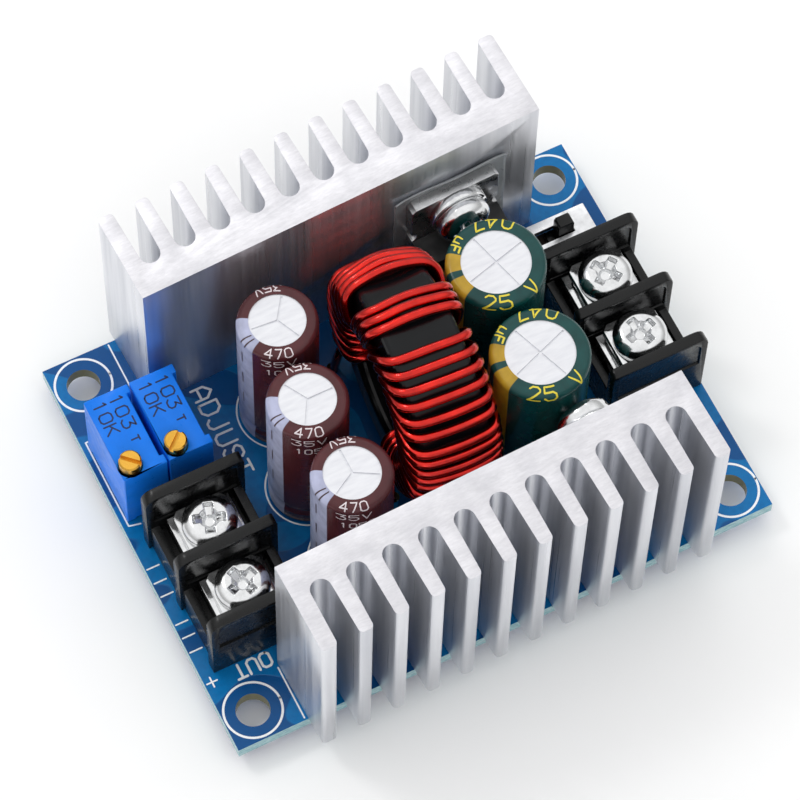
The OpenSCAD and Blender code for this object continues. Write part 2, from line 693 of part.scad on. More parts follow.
// Heat-shrunk sleeve: from under the foot, up the side and over the shoulder
module cap_sleeve(place, d, h, tint) {
  r = d / 2 - sleeve_t;
  top = h - sleeve_t;
  window = d * 0.35;
  outside = can_outline(d / 2, h, cap_crimp_depth / 3);
  inside = can_outline(r, top, cap_crimp_depth / 3 + 0.001);
  color(tint)
  translate([place[0], place[1], board_top])
    rotate_extrude() polygon(concat([for (i = [2:len(outside) - 1]) outside[i]],
      [[window, h], [window, top]], [for (i = [len(inside) - 1:-1:2]) inside[i]]));
}

// Rubber bung in the can's foot, with its two tinned leads
module cap_base(place, d, pitch) {
  leads = cap_leads(place, pitch);
  color("#202020")
  difference() {
    translate([place[0], place[1], board_top]) cylinder(r = d / 2 - sleeve_t - 0.4, h = cap_bung_h);
    for (lead = leads) lead_bar(lead, board_top - cut, board_top + cap_bung_h - 0.3);
  }
  color("silver")
  for (lead = leads) lead_bar(lead, 0, board_top + cap_bung_h - 0.3);
}

module output_can(i) cap_can(output_cap_places[i], output_cap_d, output_cap_h, 3, [-65, 0, -30][i]);
module output_sleeve(i) cap_sleeve(output_cap_places[i], output_cap_d, output_cap_h, "#5a2a2c");
module output_base(i) cap_base(output_cap_places[i], output_cap_d, output_cap_lead_pitch);
module input_can(i) cap_can(input_cap_places[i], input_cap_d, input_cap_h, 4, [15, 20][i]);
module input_sleeve(i) cap_sleeve(input_cap_places[i], input_cap_d, input_cap_h, "#0f4a4a");
module input_base(i) cap_base(input_cap_places[i], input_cap_d, input_cap_lead_pitch);

// ---------- Screw terminals ----------
// Drawn with the wire entry towards +x, centred on the block's middle
partition_rim = 0.8;
partition_recess = 0.2;
web_low = inner_wall_h + 0.3;

// Outline of a partition from its foot at low, drawn in from its edges by inset
module partition_outline(low, inset) {
  round_out = 1.2;
  round_in = 0.5;
  half = block_depth / 2 - inset;
  top = block_h - inset;
  polygon(concat([[-half, low], [half, low]],
    corner_arc(half - round_out, top - round_out, round_out, 0),
    corner_arc(-half + round_in, top - round_in, round_in, 90)));
}

// Partition with a rim round the upper part of its web
module block_partition() {
  rotate([90, 0, 0]) difference() {
    translate([0, 0, -partition_t / 2]) linear_extrude(partition_t) partition_outline(0, 0);
    for (face_low = [partition_t / 2 - partition_recess, -partition_t / 2 - cut])
      translate([0, 0, face_low])
        linear_extrude(partition_recess + cut) partition_outline(web_low, partition_rim);
  }
}

module terminal_block(x, y, side) {
  inner_u = -block_depth / 2 + block_setback;
  outer_u = block_depth / 2 - block_setback;
  half_w = pole_pitch;
  slot_w = leg_w + 2 * contact_gap;
  slot_l = leg_t + 2 * contact_gap;
  color("#17181a")
  translate([x, y, board_top]) mirror([side < 0 ? 1 : 0, 0, 0])
    difference() {
      union() {
        for (i = [-1, 0, 1]) translate([0, i * pole_pitch, 0]) block_partition();
        translate([inner_u, -half_w, 0]) cube([outer_u - inner_u, 2 * half_w, block_base_h]);
        translate([outer_u - wall_t, -half_w, 0]) cube([wall_t, 2 * half_w, outer_wall_h]);
        translate([inner_u, -half_w, 0]) cube([wall_t, 2 * half_w, inner_wall_h]);
        translate([-contact_l / 2 + leg_t + contact_gap, -half_w, 0])
          cube([contact_l - leg_t - contact_gap, 2 * half_w, pedestal_h]);
      }
      for (i = [0, 1]) translate([0, pole_y(i), 0]) {
        translate([0, 0, screw_well_floor]) cylinder(d = collar_d + 2 * contact_gap, h = block_h);
        translate([leg_u - slot_l / 2, -slot_w / 2, -cut]) cube([slot_l, slot_w, block_h]);
      }
    }
}

// Tapped plate with a collar below and a leg that becomes the solder pin
module terminal_contact() {
  width = pocket_w - 2 * contact_gap;
  plate_low = pedestal_h;
  difference() {
    union() {
      translate([-contact_l / 2, -width / 2, plate_low]) cube([contact_l, width, contact_t]);
      translate([0, 0, plate_low - collar_h]) cylinder(d = collar_d, h = collar_h + contact_t / 2);
      translate([leg_u - leg_t / 2, -leg_w / 2, 0.4]) cube([leg_t, leg_w, plate_low]);
      translate([leg_u - leg_t / 2, -pin_w / 2, -board_top]) cube([leg_t, pin_w, board_top + cut]);
    }
    translate([0, 0, plate_low - collar_h - cut])
      cylinder(d = clamp_thread_d, h = collar_h + contact_t + 2 * cut);
  }
}

module terminal_contacts(x, y, side) {
  color("#c8cacd")
  for (i = [0, 1]) translate([x, y + pole_y(i), board_top])
    mirror([side < 0 ? 1 : 0, 0, 0]) terminal_contact();
}

clamp_rest = 0.02;
clamp_low = board_top + pedestal_h + contact_t + clamp_rest;

// Square wire clamp with its corners cut
module wire_clamp(x, y, open) {
  corner = 0.6;
  half = clamp_side / 2;
  color("#d6d8db")
  translate([x, y, clamp_low + open])
    difference() {
      linear_extrude(clamp_t) polygon([[-half, -half + corner], [-half + corner, -half],
        [half - corner, -half], [half, -half + corner], [half, half - corner],
        [half - corner, half], [-half + corner, half], [-half, half - corner]]);
      translate([0, 0, -cut]) cylinder(d = clamp_thread_d + 0.3, h = clamp_t + 2 * cut);
    }
}

// The screw's seat stands just clear of the clamp that it presses on
module clamp_screw(x, y, open, turn) {
  seat = clamp_low + open + clamp_t + clamp_rest;
  color("#cfd1d5")
  translate([x, y, seat]) {
    rotate(turn) pan_head(clamp_head_d, clamp_head_h);
    translate([0, 0, -screw_drop]) cylinder(d = clamp_thread_d - 2 * running_gap, h = screw_drop + 0.1);
  }
}

module output_terminal_block() terminal_block(output_block_x, output_block_y, -1);
module output_terminal_contacts() terminal_contacts(output_block_x, output_block_y, -1);
module output_clamp(i) wire_clamp(output_block_x, output_block_y + pole_y(i), output_clamp_open);
module output_clamp_screw(i)
  clamp_screw(output_block_x, output_block_y + pole_y(i), output_clamp_open, [20, 70][i]);
module input_terminal_block() terminal_block(input_block_x, input_block_y, 1);
module input_terminal_contacts() terminal_contacts(input_block_x, input_block_y, 1);
module input_clamp(i) wire_clamp(input_block_x, input_block_y + pole_y(i), input_clamp_open);
module input_clamp_screw(i)
  clamp_screw(input_block_x, input_block_y + pole_y(i), input_clamp_open, [15, 35][i]);

// ---------- Trimmers ----------
module trimmer_case(i) {
  low = board_top + trimmer_foot;
  high = board_top + trimmer_h;
  full_w = trimmer_w;
  side_w = trimmer_w - trimmer_recess;
  color("#1e74e8")
  translate([trimmer_x[i], trimmer_low_y, 0])
    difference() {
      union() {
        translate([0, 0, low]) linear_extrude(high - low)
          polygon([[0, 0], [full_w, 0], [full_w, trimmer_nub], [side_w, trimmer_nub],
            [side_w, trimmer_l - trimmer_nub], [full_w, trimmer_l - trimmer_nub], [full_w, trimmer_l],
            [0, trimmer_l]]);
        for (x = [0, side_w - trimmer_nub], y = [0, trimmer_l - trimmer_nub])
          translate([x, y, board_top]) cube([trimmer_nub, trimmer_nub, trimmer_foot + 0.1]);
      }
      translate([resin_wall, trimmer_nub, low - cut])
        cube([side_w - 2 * resin_wall, trimmer_l - 2 * trimmer_nub, resin_h + cut]);
      translate([trimmer_screw_inset_x, trimmer_screw_inset_y, high - trimmer_screw_in])
        cylinder(d = trimmer_screw_d + 2 * running_gap, h = trimmer_screw_in + cut);
    }
}

// Resin that seals the case, with its three pins
module trimmer_base(i) {
  low = board_top + trimmer_foot;
  side_w = trimmer_w - trimmer_recess;
  leads = trimmer_leads(i);
  pin_in = 1;
  color("#d8d8d0")
  difference() {
    translate([trimmer_x[i] + resin_wall, trimmer_low_y + trimmer_nub, low])
      cube([side_w - 2 * resin_wall, trimmer_l - 2 * trimmer_nub, resin_h]);
    for (lead = leads) lead_bar(lead, low - cut, low + pin_in);
  }
  color("silver")
  for (lead = leads) lead_bar(lead, 0, low + pin_in);
}

module trimmer_screw(i) {
  slot_w = 0.45;
  slot_depth = 0.6;
  high = board_top + trimmer_h;
  top = high + trimmer_screw_up;
  low = high - trimmer_screw_in + running_gap;
  color("#e0a030")
  translate([trimmer_x[i] + trimmer_screw_inset_x, trimmer_low_y + trimmer_screw_inset_y, 0])
    difference() {
      translate([0, 0, low]) rotate_extrude() polygon([[0, 0], [trimmer_screw_d / 2, 0],
        [trimmer_screw_d / 2, top - low - 0.15], [trimmer_screw_d / 2 - 0.15, top - low], [0, top - low]]);
      rotate([0, 0, [-44, 41][i]]) translate([-trimmer_screw_d, -slot_w / 2, top - slot_depth])
        cube([2 * trimmer_screw_d, slot_w, cut]);
    }
}

// ---------- Slide switch ----------
slot_l = knob_w + knob_travel + 2 * slot_margin;
knob_rest_x = switch_x + knob_travel / 2;

// Folded sheet cover, open below, with two feet at each long side that clip the base
module switch_cover() {
  foot_l = 1.4;
  color("#e4e6ea")
  translate([switch_x, switch_y, board_top])
    difference() {
      union() {
        translate([-switch_l / 2, -switch_w / 2, switch_base_h])
          cube([switch_l, switch_w, switch_h - switch_base_h]);
        for (s = [-1, 1]) translate([s * (switch_l / 2 - foot_l) - foot_l / 2, -switch_w / 2, 0.4])
          cube([foot_l, switch_w, switch_base_h]);
      }
      translate([-switch_l / 2 + switch_sheet, -switch_w / 2 + switch_sheet, -cut])
        cube([switch_l - 2 * switch_sheet, switch_w - 2 * switch_sheet, switch_h - switch_sheet + cut]);
      translate([-slot_l / 2, -knob_t / 2 - slot_margin, 0])
        cube([slot_l, knob_t + 2 * slot_margin, switch_h + cut]);
    }
}

// Moulded base that fills the cover's foot, with its three terminals
module switch_base() {
  leads = switch_leads();
  color("#2b2420")
  difference() {
    translate([switch_x - switch_l / 2 + switch_sheet, switch_y - switch_w / 2 + switch_sheet, board_top])
      cube([switch_l - 2 * switch_sheet, switch_w - 2 * switch_sheet, switch_base_h]);
    for (lead = leads) lead_bar(lead, board_top - cut, board_top + switch_base_h + cut);
  }
  color("silver")
  for (lead = leads) lead_bar(lead, 0, board_top + switch_base_h);
}

// Knob with the slider plate that runs under the cover
module switch_knob() {
  plate_low = board_top + switch_base_h + slot_margin;
  ridge = 0.25;
  color("#1b1b1d")
  translate([knob_rest_x, switch_y, 0]) {
    translate([-knob_w / 2, -knob_t / 2, plate_low])
      cube([knob_w, knob_t, board_top + switch_h + knob_up - ridge - plate_low]);
    translate([-knob_w / 2 + ridge / 2, -knob_t / 2, plate_low + 1])
      cube([knob_w - ridge, knob_t, board_top + switch_h + knob_up - plate_low - 1]);
    translate([-slider_l / 2, -slider_w / 2, plate_low]) cube([slider_l, slider_w, slider_t]);
  }
}

// ---------- Parts on the underside ----------
// Chips as [x, y, length, width, leads on each side]
chips = [[-2, 5.9, 9.9, 3.9, 7], [-18.2, 2.6, 4.9, 3.9, 4]];
chip_h = 1.45;
chip_standoff = 0.1;
chip_lead_pitch = 1.27;
chip_lead_w = 0.42;
chip_lead_t = 0.2;
chip_lead_out = 1;
// Flat resistors as [x, y, turned]
shunts = [[4, -6, 0], [4, -9.8, 0]];
shunt_size = [6.3, 3.1, 0.6];
small_size = [2, 1.25, 0.55];
small_resistors = [[-2, 1, 0], [-5.5, 1, 0], [1.5, 1, 0], [5.5, 2.2, 90], [-9, -3, 90],
  [-9, 5, 90], [-19, -6, 0], [-6.9, -5, 0], [-6.9, -8, 0], [20, -10, 90]];
small_capacitors = [[-2, -2, 0], [-5.5, -2, 0], [9, 9.4, 0], [5.6, 8.6, 90], [-18.5, 7.4, 0],
  [17.4, -10.6, 0], [-14, -3, 0]];
cap_chip_h = 0.95;

module chip_bodies() {
  color("#1a1a1c")
  for (c = chips) translate([c[0] - c[2] / 2, c[1] - c[3] / 2, board_low - chip_standoff - chip_h])
    cube([c[2], c[3], chip_h]);
}

// Gull-wing leads: out of the body's side, down to the board and along it
module chip_leads() {
  mid = board_low - chip_standoff - chip_h / 2;
  color("silver")
  for (c = chips, i = [0:c[4] - 1], s = [-1, 1])
    translate([c[0] + (i - (c[4] - 1) / 2) * chip_lead_pitch, c[1] + s * c[3] / 2, 0])
      mirror([0, s < 0 ? 1 : 0, 0]) rotate([90, 0, 90])
        translate([0, 0, -chip_lead_w / 2]) linear_extrude(chip_lead_w)
        polygon([[0, mid], [0, mid - chip_lead_t], [0.45, mid - chip_lead_t],
          [0.65, board_low - chip_lead_t],
          [chip_lead_out, board_low - chip_lead_t], [chip_lead_out, board_low], [0.5, board_low],
          [0.35, mid]]);
}

module flat_part(p, size) {
  translate([p[0], p[1], board_low - size[2]]) rotate(p[2])
    translate([-size[0] / 2, -size[1] / 2, 0]) cube(size);
}

module shunt_resistors() {
  color("#1d1d1f")
  for (p = shunts) flat_part(p, shunt_size);
}

module chip_resistors() {
  color("#17171a")
  for (p = small_resistors) flat_part(p, small_size);
}

module chip_capacitors() {
  color("#b08c62")
  for (p = small_capacitors) flat_part(p, [small_size[0], small_size[1], cap_chip_h]);
}

// ---------- Assembly ----------
board();
solder_joints();
rear_heatsink();
front_heatsink();
heatsink_pins();
transistor_pad();
transistor_frame();
transistor_body();
transistor_washer();
transistor_screw();
rectifier_pad();
rectifier_frame();
rectifier_body();
rectifier_washer();
rectifier_screw();
inductor_core();
inductor_winding();
output_can(0);  // output_capacitor_1_can
output_sleeve(0);  // output_capacitor_1_sleeve
output_base(0);  // output_capacitor_1_base
output_can(1);  // output_capacitor_2_can
output_sleeve(1);  // output_capacitor_2_sleeve
output_base(1);  // output_capacitor_2_base
output_can(2);  // output_capacitor_3_can
output_sleeve(2);  // output_capacitor_3_sleeve
output_base(2);  // output_capacitor_3_base
input_can(0);  // input_capacitor_1_can
input_sleeve(0);  // input_capacitor_1_sleeve
input_base(0);  // input_capacitor_1_base
input_can(1);  // input_capacitor_2_can
input_sleeve(1);  // input_capacitor_2_sleeve
input_base(1);  // input_capacitor_2_base
output_terminal_block();
output_terminal_contacts();
output_clamp(0);  // output_clamp_1
output_clamp(1);  // output_clamp_2
output_clamp_screw(0);  // output_clamp_screw_1
output_clamp_screw(1);  // output_clamp_screw_2
input_terminal_block();
input_terminal_contacts();
input_clamp(0);  // input_clamp_1
input_clamp(1);  // input_clamp_2
input_clamp_screw(0);  // input_clamp_screw_1
input_clamp_screw(1);  // input_clamp_screw_2
trimmer_case(0);  // trimmer_1_case
trimmer_base(0);  // trimmer_1_base
trimmer_screw(0);  // trimmer_1_screw
trimmer_case(1);  // trimmer_2_case
trimmer_base(1);  // trimmer_2_base
trimmer_screw(1);  // trimmer_2_screw
switch_cover();
switch_base();
switch_knob();
chip_bodies();
chip_leads();
shunt_resistors();
chip_resistors();
chip_capacitors();
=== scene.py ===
"""Looks of the buck converter module: finishes, printed marks, wound wire, stamped screws and curled pads.
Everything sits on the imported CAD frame, in metres, +Z up; sizes in this file are millimetres until a mesh
is made."""
import json
import math
import random

import bmesh
import bpy
from mathutils import Matrix, Vector


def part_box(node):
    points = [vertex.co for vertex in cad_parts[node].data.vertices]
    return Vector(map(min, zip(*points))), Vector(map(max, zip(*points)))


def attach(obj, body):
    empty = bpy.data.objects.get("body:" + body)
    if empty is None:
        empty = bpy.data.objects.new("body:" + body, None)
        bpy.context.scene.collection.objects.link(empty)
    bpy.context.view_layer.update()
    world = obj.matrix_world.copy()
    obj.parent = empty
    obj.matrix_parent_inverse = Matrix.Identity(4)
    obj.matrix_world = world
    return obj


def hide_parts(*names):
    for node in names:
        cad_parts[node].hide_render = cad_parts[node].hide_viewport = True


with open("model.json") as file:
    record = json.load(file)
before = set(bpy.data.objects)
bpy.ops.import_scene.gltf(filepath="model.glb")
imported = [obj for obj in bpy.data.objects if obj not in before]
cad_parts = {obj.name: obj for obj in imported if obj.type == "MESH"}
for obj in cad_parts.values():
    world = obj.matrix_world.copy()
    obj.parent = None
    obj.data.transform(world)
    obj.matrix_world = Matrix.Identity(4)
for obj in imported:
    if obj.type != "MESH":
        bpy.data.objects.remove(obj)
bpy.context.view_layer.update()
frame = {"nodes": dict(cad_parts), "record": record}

MM = 0.001
scene = bpy.context.scene
slot_of = {part["node"]: part["material_slot"] for part in frame["record"]["subparts"]}
body_of = {node: body for body, nodes in frame["record"]["behaviour"]["bodies"].items() for node in nodes}


# ---------------------------------------------------------------- finishes
def linear(code):
    """An sRGB hex colour as the linear colour that a socket takes."""
    parts = [int(code[i:i + 2], 16) / 255 for i in (1, 3, 5)]
    return tuple(c / 12.92 if c <= 0.04045 else ((c + 0.055) / 1.055) ** 2.4 for c in parts) + (1.0,)


def add(tree, kind, inputs=None, **settings):
    """Adds one node and returns its outputs. Settings are the node's own; inputs maps each socket to a value,
    or to the output that feeds it."""
    node = tree.nodes.new(kind)
    for key, value in settings.items():
        setattr(node, key, value)
    for key, value in (inputs or {}).items():
        if isinstance(value, bpy.types.NodeSocket):
            tree.links.new(value, node.inputs[key])
        else:
            node.inputs[key].default_value = value
    return node.outputs


def blank(name):
    """An empty material, its node tree, and the piece's own coordinates in millimetres."""
    mat = bpy.data.materials.new(name)
    mat.use_nodes = True
    tree = mat.node_tree
    tree.nodes.clear()
    place = add(tree, "ShaderNodeTexCoord")["Object"]
    mm = add(tree, "ShaderNodeVectorMath", {0: place, "Scale": 1000}, operation="SCALE")[0]
    return mat, tree, mm


def extruded_aluminium():
    """Extruded aluminium, sawn to length. Die lines run up the profile, about 0.3 mm apart, and blur
    reflections sideways. The sawn ends are brighter and duller, with slanting scratches of the saw about
    0.4 mm apart."""
    mat, tree, mm = blank("extruded_aluminium")
    normal = add(tree, "ShaderNodeNewGeometry")["True Normal"]
    turned = add(tree, "ShaderNodeVectorTransform", {0: normal}, vector_type="NORMAL",
                 convert_from="WORLD", convert_to="OBJECT")[0]
    upright = add(tree, "ShaderNodeSeparateXYZ", {0: turned})["Z"]
    level = add(tree, "ShaderNodeMath", {0: upright}, operation="ABSOLUTE")[0]
    sawn = add(tree, "ShaderNodeMapRange", {0: level, 1: 0.75, 2: 0.9})[0]

    up_the_profile = add(tree, "ShaderNodeMapping", {"Vector": mm, "Scale": (3.2, 3.2, 0.015)})[0]
    die_lines = add(tree, "ShaderNodeTexNoise", {"Vector": up_the_profile, "Scale": 1.0, "Detail": 4.0,
                                                "Roughness": 0.65})[0]
    wide = add(tree, "ShaderNodeMapping", {"Vector": mm, "Scale": (0.55, 0.55, 0.03)})[0]
    wide_lines = add(tree, "ShaderNodeTexNoise", {"Vector": wide, "Scale": 1.0, "Detail": 2.0})[0]
    along_saw = add(tree, "ShaderNodeMapping", {"Vector": mm, "Rotation": (0, 0, math.radians(-62)),
                                                "Scale": (0.9, 4.0, 1)})[0]
    saw_lines = add(tree, "ShaderNodeTexNoise", {"Vector": along_saw, "Scale": 1.0, "Detail": 5.0,
                                                "Roughness": 0.7})[0]
    stains = add(tree, "ShaderNodeTexNoise", {"Vector": mm, "Scale": 0.35, "Detail": 4.0,
                                              "Roughness": 0.6})[0]

    flank_shade = add(tree, "ShaderNodeMapRange", {0: wide_lines, 1: 0.3, 2: 0.7})[0]
    flank = add(tree, "ShaderNodeMix", {0: flank_shade, 6: linear("#c9cbd1"), 7: linear("#e9eaee")},
                data_type="RGBA")[2]
    end_shade = add(tree, "ShaderNodeMapRange", {0: saw_lines, 1: 0.3, 2: 0.68})[0]
    end = add(tree, "ShaderNodeMix", {0: end_shade, 6: linear("#d7d6da"), 7: linear("#e9e8ec")},
              data_type="RGBA")[2]
    stain_shade = add(tree, "ShaderNodeMapRange", {0: stains, 1: 0.4, 2: 0.75, 3: 0.0, 4: 0.45})[0]
    worn_end = add(tree, "ShaderNodeMix", {0: stain_shade, 6: end, 7: linear("#c9c9ce")}, data_type="RGBA")[2]
    colour = add(tree, "ShaderNodeMix", {0: sawn, 6: flank, 7: worn_end}, data_type="RGBA")[2]

    flank_rough = add(tree, "ShaderNodeMapRange", {0: die_lines, 1: 0.3, 2: 0.7, 3: 0.26, 4: 0.42})[0]
    end_rough = add(tree, "ShaderNodeMapRange", {0: stains, 1: 0.3, 2: 0.7, 3: 0.46, 4: 0.62})[0]
    rough = add(tree, "ShaderNodeMix", {0: sawn, 2: flank_rough, 3: end_rough})[0]
    height = add(tree, "ShaderNodeMix", {0: sawn, 2: die_lines, 3: saw_lines})[0]
    bump = add(tree, "ShaderNodeBump", {"Height": height, "Strength": 0.5, "Distance": 0.02 * MM})[0]
    shader = add(tree, "ShaderNodeBsdfPrincipled", {"Base Color": colour, "Metallic": 0.9, "Roughness": rough,
                                                   "Normal": bump})[0]
    add(tree, "ShaderNodeOutputMaterial", {"Surface": shader})
    return mat


def masked_laminate():
    """Glass-epoxy laminate under blue solder mask. The mask is a clear glossy varnish, lighter where copper
    lies below it, with steps of 0.03 mm at the copper's edges. The routed rim shows pale fibre, the holes
    look olive."""
    mat, tree, mm = blank("solder_mask_on_laminate")
    low, high = box_mm("board")
    normal = add(tree, "ShaderNodeNewGeometry")["True Normal"]
    turned = add(tree, "ShaderNodeVectorTransform", {0: normal}, vector_type="NORMAL",
                 convert_from="WORLD", convert_to="OBJECT")[0]
    upright = add(tree, "ShaderNodeSeparateXYZ", {0: turned})["Z"]
    level = add(tree, "ShaderNodeMath", {0: upright}, operation="ABSOLUTE")[0]
    flat = add(tree, "ShaderNodeMapRange", {0: level, 1: 0.5, 2: 0.6})[0]

    blocks = add(tree, "ShaderNodeMapping", {"Vector": mm, "Scale": (0.13, 0.17, 0.0)})[0]
    pour_noise = add(tree, "ShaderNodeTexNoise", {"Vector": blocks, "Scale": 1.0, "Detail": 0.0})[0]
    copper = add(tree, "ShaderNodeMapRange", {0: pour_noise, 1: 0.485, 2: 0.5})[0]
    mask = add(tree, "ShaderNodeMix", {0: copper, 6: linear("#044f8c"), 7: linear("#0270b0")},
               data_type="RGBA")[2]
    weave_noise = add(tree, "ShaderNodeTexNoise", {"Vector": mm, "Scale": 1.6, "Detail": 3.0})[0]
    weave = add(tree, "ShaderNodeMapRange", {0: weave_noise, 1: 0.4, 2: 0.7, 3: 0.0, 4: 0.22})[0]
    mask = add(tree, "ShaderNodeMix", {0: weave, 6: mask, 7: linear("#02467e")}, data_type="RGBA")[2]

    across = add(tree, "ShaderNodeSeparateXYZ", {0: mm})
    off_x = add(tree, "ShaderNodeMath", {0: across["X"]}, operation="ABSOLUTE")[0]
    off_y = add(tree, "ShaderNodeMath", {0: across["Y"]}, operation="ABSOLUTE")[0]
    at_x = add(tree, "ShaderNodeMapRange", {0: off_x, 1: high.x - 0.2, 2: high.x - 0.1})[0]
    at_y = add(tree, "ShaderNodeMapRange", {0: off_y, 1: high.y - 0.2, 2: high.y - 0.1})[0]
    rim = add(tree, "ShaderNodeMath", {0: at_x, 1: at_y}, operation="MAXIMUM")[0]
    layers = add(tree, "ShaderNodeMapping", {"Vector": mm, "Scale": (1.5, 1.5, 7)})[0]
    fibre_noise = add(tree, "ShaderNodeTexNoise", {"Vector": layers, "Scale": 1.0})[0]
    fibre_shade = add(tree, "ShaderNodeMapRange", {0: fibre_noise, 1: 0.3, 2: 0.7})[0]
    fibre = add(tree, "ShaderNodeMix", {0: fibre_shade, 6: linear("#6fa3ac"), 7: linear("#b4d2d4")},
                data_type="RGBA")[2]
    edge = add(tree, "ShaderNodeMix", {0: rim, 6: linear("#7c7a5a"), 7: fibre}, data_type="RGBA")[2]
    colour = add(tree, "ShaderNodeMix", {0: flat, 6: edge, 7: mask}, data_type="RGBA")[2]
    bump = add(tree, "ShaderNodeBump", {"Height": copper, "Strength": 0.6, "Distance": 0.03 * MM})[0]
    shader = add(tree, "ShaderNodeBsdfPrincipled", {
        "Base Color": colour, "Roughness": 0.24, "IOR": 1.5, "Specular IOR Level": 0.25, "Normal": bump})[0]
    add(tree, "ShaderNodeOutputMaterial", {"Surface": shader})
    return mat


def screened_ink(name, code, rough=0.5):
    """Epoxy ink put on through a screen: dense and slightly chalky, a touch darker where it went on thin, in
    spots about 0.2 mm wide."""
    mat, tree, mm = blank(name)
    spots = add(tree, "ShaderNodeTexNoise", {"Vector": mm, "Scale": 5.0, "Detail": 2.0})[0]
    thin = add(tree, "ShaderNodeMapRange", {0: spots, 1: 0.5, 2: 0.85, 3: 0.0, 4: 0.3})[0]
    full = linear(code)
    worn = tuple(c * 0.6 for c in full[:3]) + (1.0,)
    colour = add(tree, "ShaderNodeMix", {0: thin, 6: full, 7: worn}, data_type="RGBA")[2]
    shader = add(tree, "ShaderNodeBsdfPrincipled", {"Base Color": colour, "Roughness": rough, "IOR": 1.5})[0]
    add(tree, "ShaderNodeOutputMaterial", {"Surface": shader})
    return mat


def bright_metal(name, code, rough, ripple=0.5, depth=0.012):
    """Plated or turned metal that keeps its shine. Ripples left by pressing and plating, about 0.5 mm apart
    and 0.01 mm deep, break the reflections up, and handling has dulled it in patches of 1 mm."""
    mat, tree, mm = blank(name)
    ripples = add(tree, "ShaderNodeTexNoise", {"Vector": mm, "Scale": 1 / ripple, "Detail": 2.0})[0]
    patches = add(tree, "ShaderNodeTexNoise", {"Vector": mm, "Scale": 1.0, "Detail": 4.0,
                                               "Roughness": 0.6})[0]
    full = linear(code)
    tarnish = tuple(c * 0.72 for c in full[:3]) + (1.0,)
    dull = add(tree, "ShaderNodeMapRange", {0: patches, 1: 0.42, 2: 0.75, 3: 0.0, 4: 0.6})[0]
    colour = add(tree, "ShaderNodeMix", {0: dull, 6: full, 7: tarnish}, data_type="RGBA")[2]
    handled = add(tree, "ShaderNodeMapRange", {0: patches, 1: 0.3, 2: 0.75, 3: rough * 0.7,
                                               4: rough * 1.8})[0]
    bump = add(tree, "ShaderNodeBump", {"Height": ripples, "Strength": 0.6, "Distance": depth * MM})[0]
    shader = add(tree, "ShaderNodeBsdfPrincipled", {"Base Color": colour, "Metallic": 1.0,
                                                    "Roughness": handled,
                                                   "Normal": bump})[0]
    add(tree, "ShaderNodeOutputMaterial", {"Surface": shader})
    return mat


def moulded(name, code, rough, grain=0.25, depth=0.008, gloss=0.5, fade=0.8):
    """Moulded or cast resin. The mould's eroded texture softens the gloss; its grain is finer than shows,
    so it is drawn about 0.25 mm wide. Flow and handling leave faint shades some 2 mm wide."""
    mat, tree, mm = blank(name)
    flow = add(tree, "ShaderNodeTexNoise", {"Vector": mm, "Scale": 0.5, "Detail": 3.0})[0]
    shade = add(tree, "ShaderNodeMapRange", {0: flow, 1: 0.35, 2: 0.7})[0]
    full = linear(code)
    faded = tuple(c * fade for c in full[:3]) + (1.0,)
    colour = add(tree, "ShaderNodeMix", {0: shade, 6: full, 7: faded}, data_type="RGBA")[2]
    smears = add(tree, "ShaderNodeTexNoise", {"Vector": mm, "Scale": 0.9, "Detail": 4.0})[0]
    worn = add(tree, "ShaderNodeMapRange", {0: smears, 1: 0.3, 2: 0.7, 3: rough * 0.8, 4: rough * 1.25})[0]
    texture = add(tree, "ShaderNodeTexNoise", {"Vector": mm, "Scale": 1 / grain, "Detail": 2.0})[0]
    bump = add(tree, "ShaderNodeBump", {"Height": texture, "Strength": 0.5, "Distance": depth * MM})[0]
    shader = add(tree, "ShaderNodeBsdfPrincipled", {
        "Base Color": colour, "Roughness": worn, "IOR": 1.5, "Specular IOR Level": gloss, "Normal": bump})[0]
    add(tree, "ShaderNodeOutputMaterial", {"Surface": shader})
    return mat


def wire_enamel():
    """Polyurethane enamel over copper: a clear red lacquer with metal under it, so the highlights are
    narrow and bright along each turn. Bending leaves the lacquer a little uneven, in spots 2 mm long."""
    mat, tree, mm = blank("red_wire_enamel")
    patches = add(tree, "ShaderNodeTexNoise", {"Vector": mm, "Scale": 0.5, "Detail": 3.0})[0]
    shade = add(tree, "ShaderNodeMapRange", {0: patches, 1: 0.3, 2: 0.7})[0]
    colour = add(tree, "ShaderNodeMix", {0: shade, 6: linear("#e21d0a"), 7: linear("#b81003")},
                 data_type="RGBA")[2]
    dents = add(tree, "ShaderNodeTexNoise", {"Vector": mm, "Scale": 0.8, "Detail": 2.0})[0]
    bump = add(tree, "ShaderNodeBump", {"Height": dents, "Strength": 0.4, "Distance": 0.015 * MM})[0]
    shader = add(tree, "ShaderNodeBsdfPrincipled", {
        "Base Color": colour, "Metallic": 1.0, "Roughness": 0.19, "Coat Weight": 0.65, "Coat Roughness": 0.04,
        "Coat IOR": 1.5, "Normal": bump})[0]
    add(tree, "ShaderNodeOutputMaterial", {"Surface": shader})
    return mat


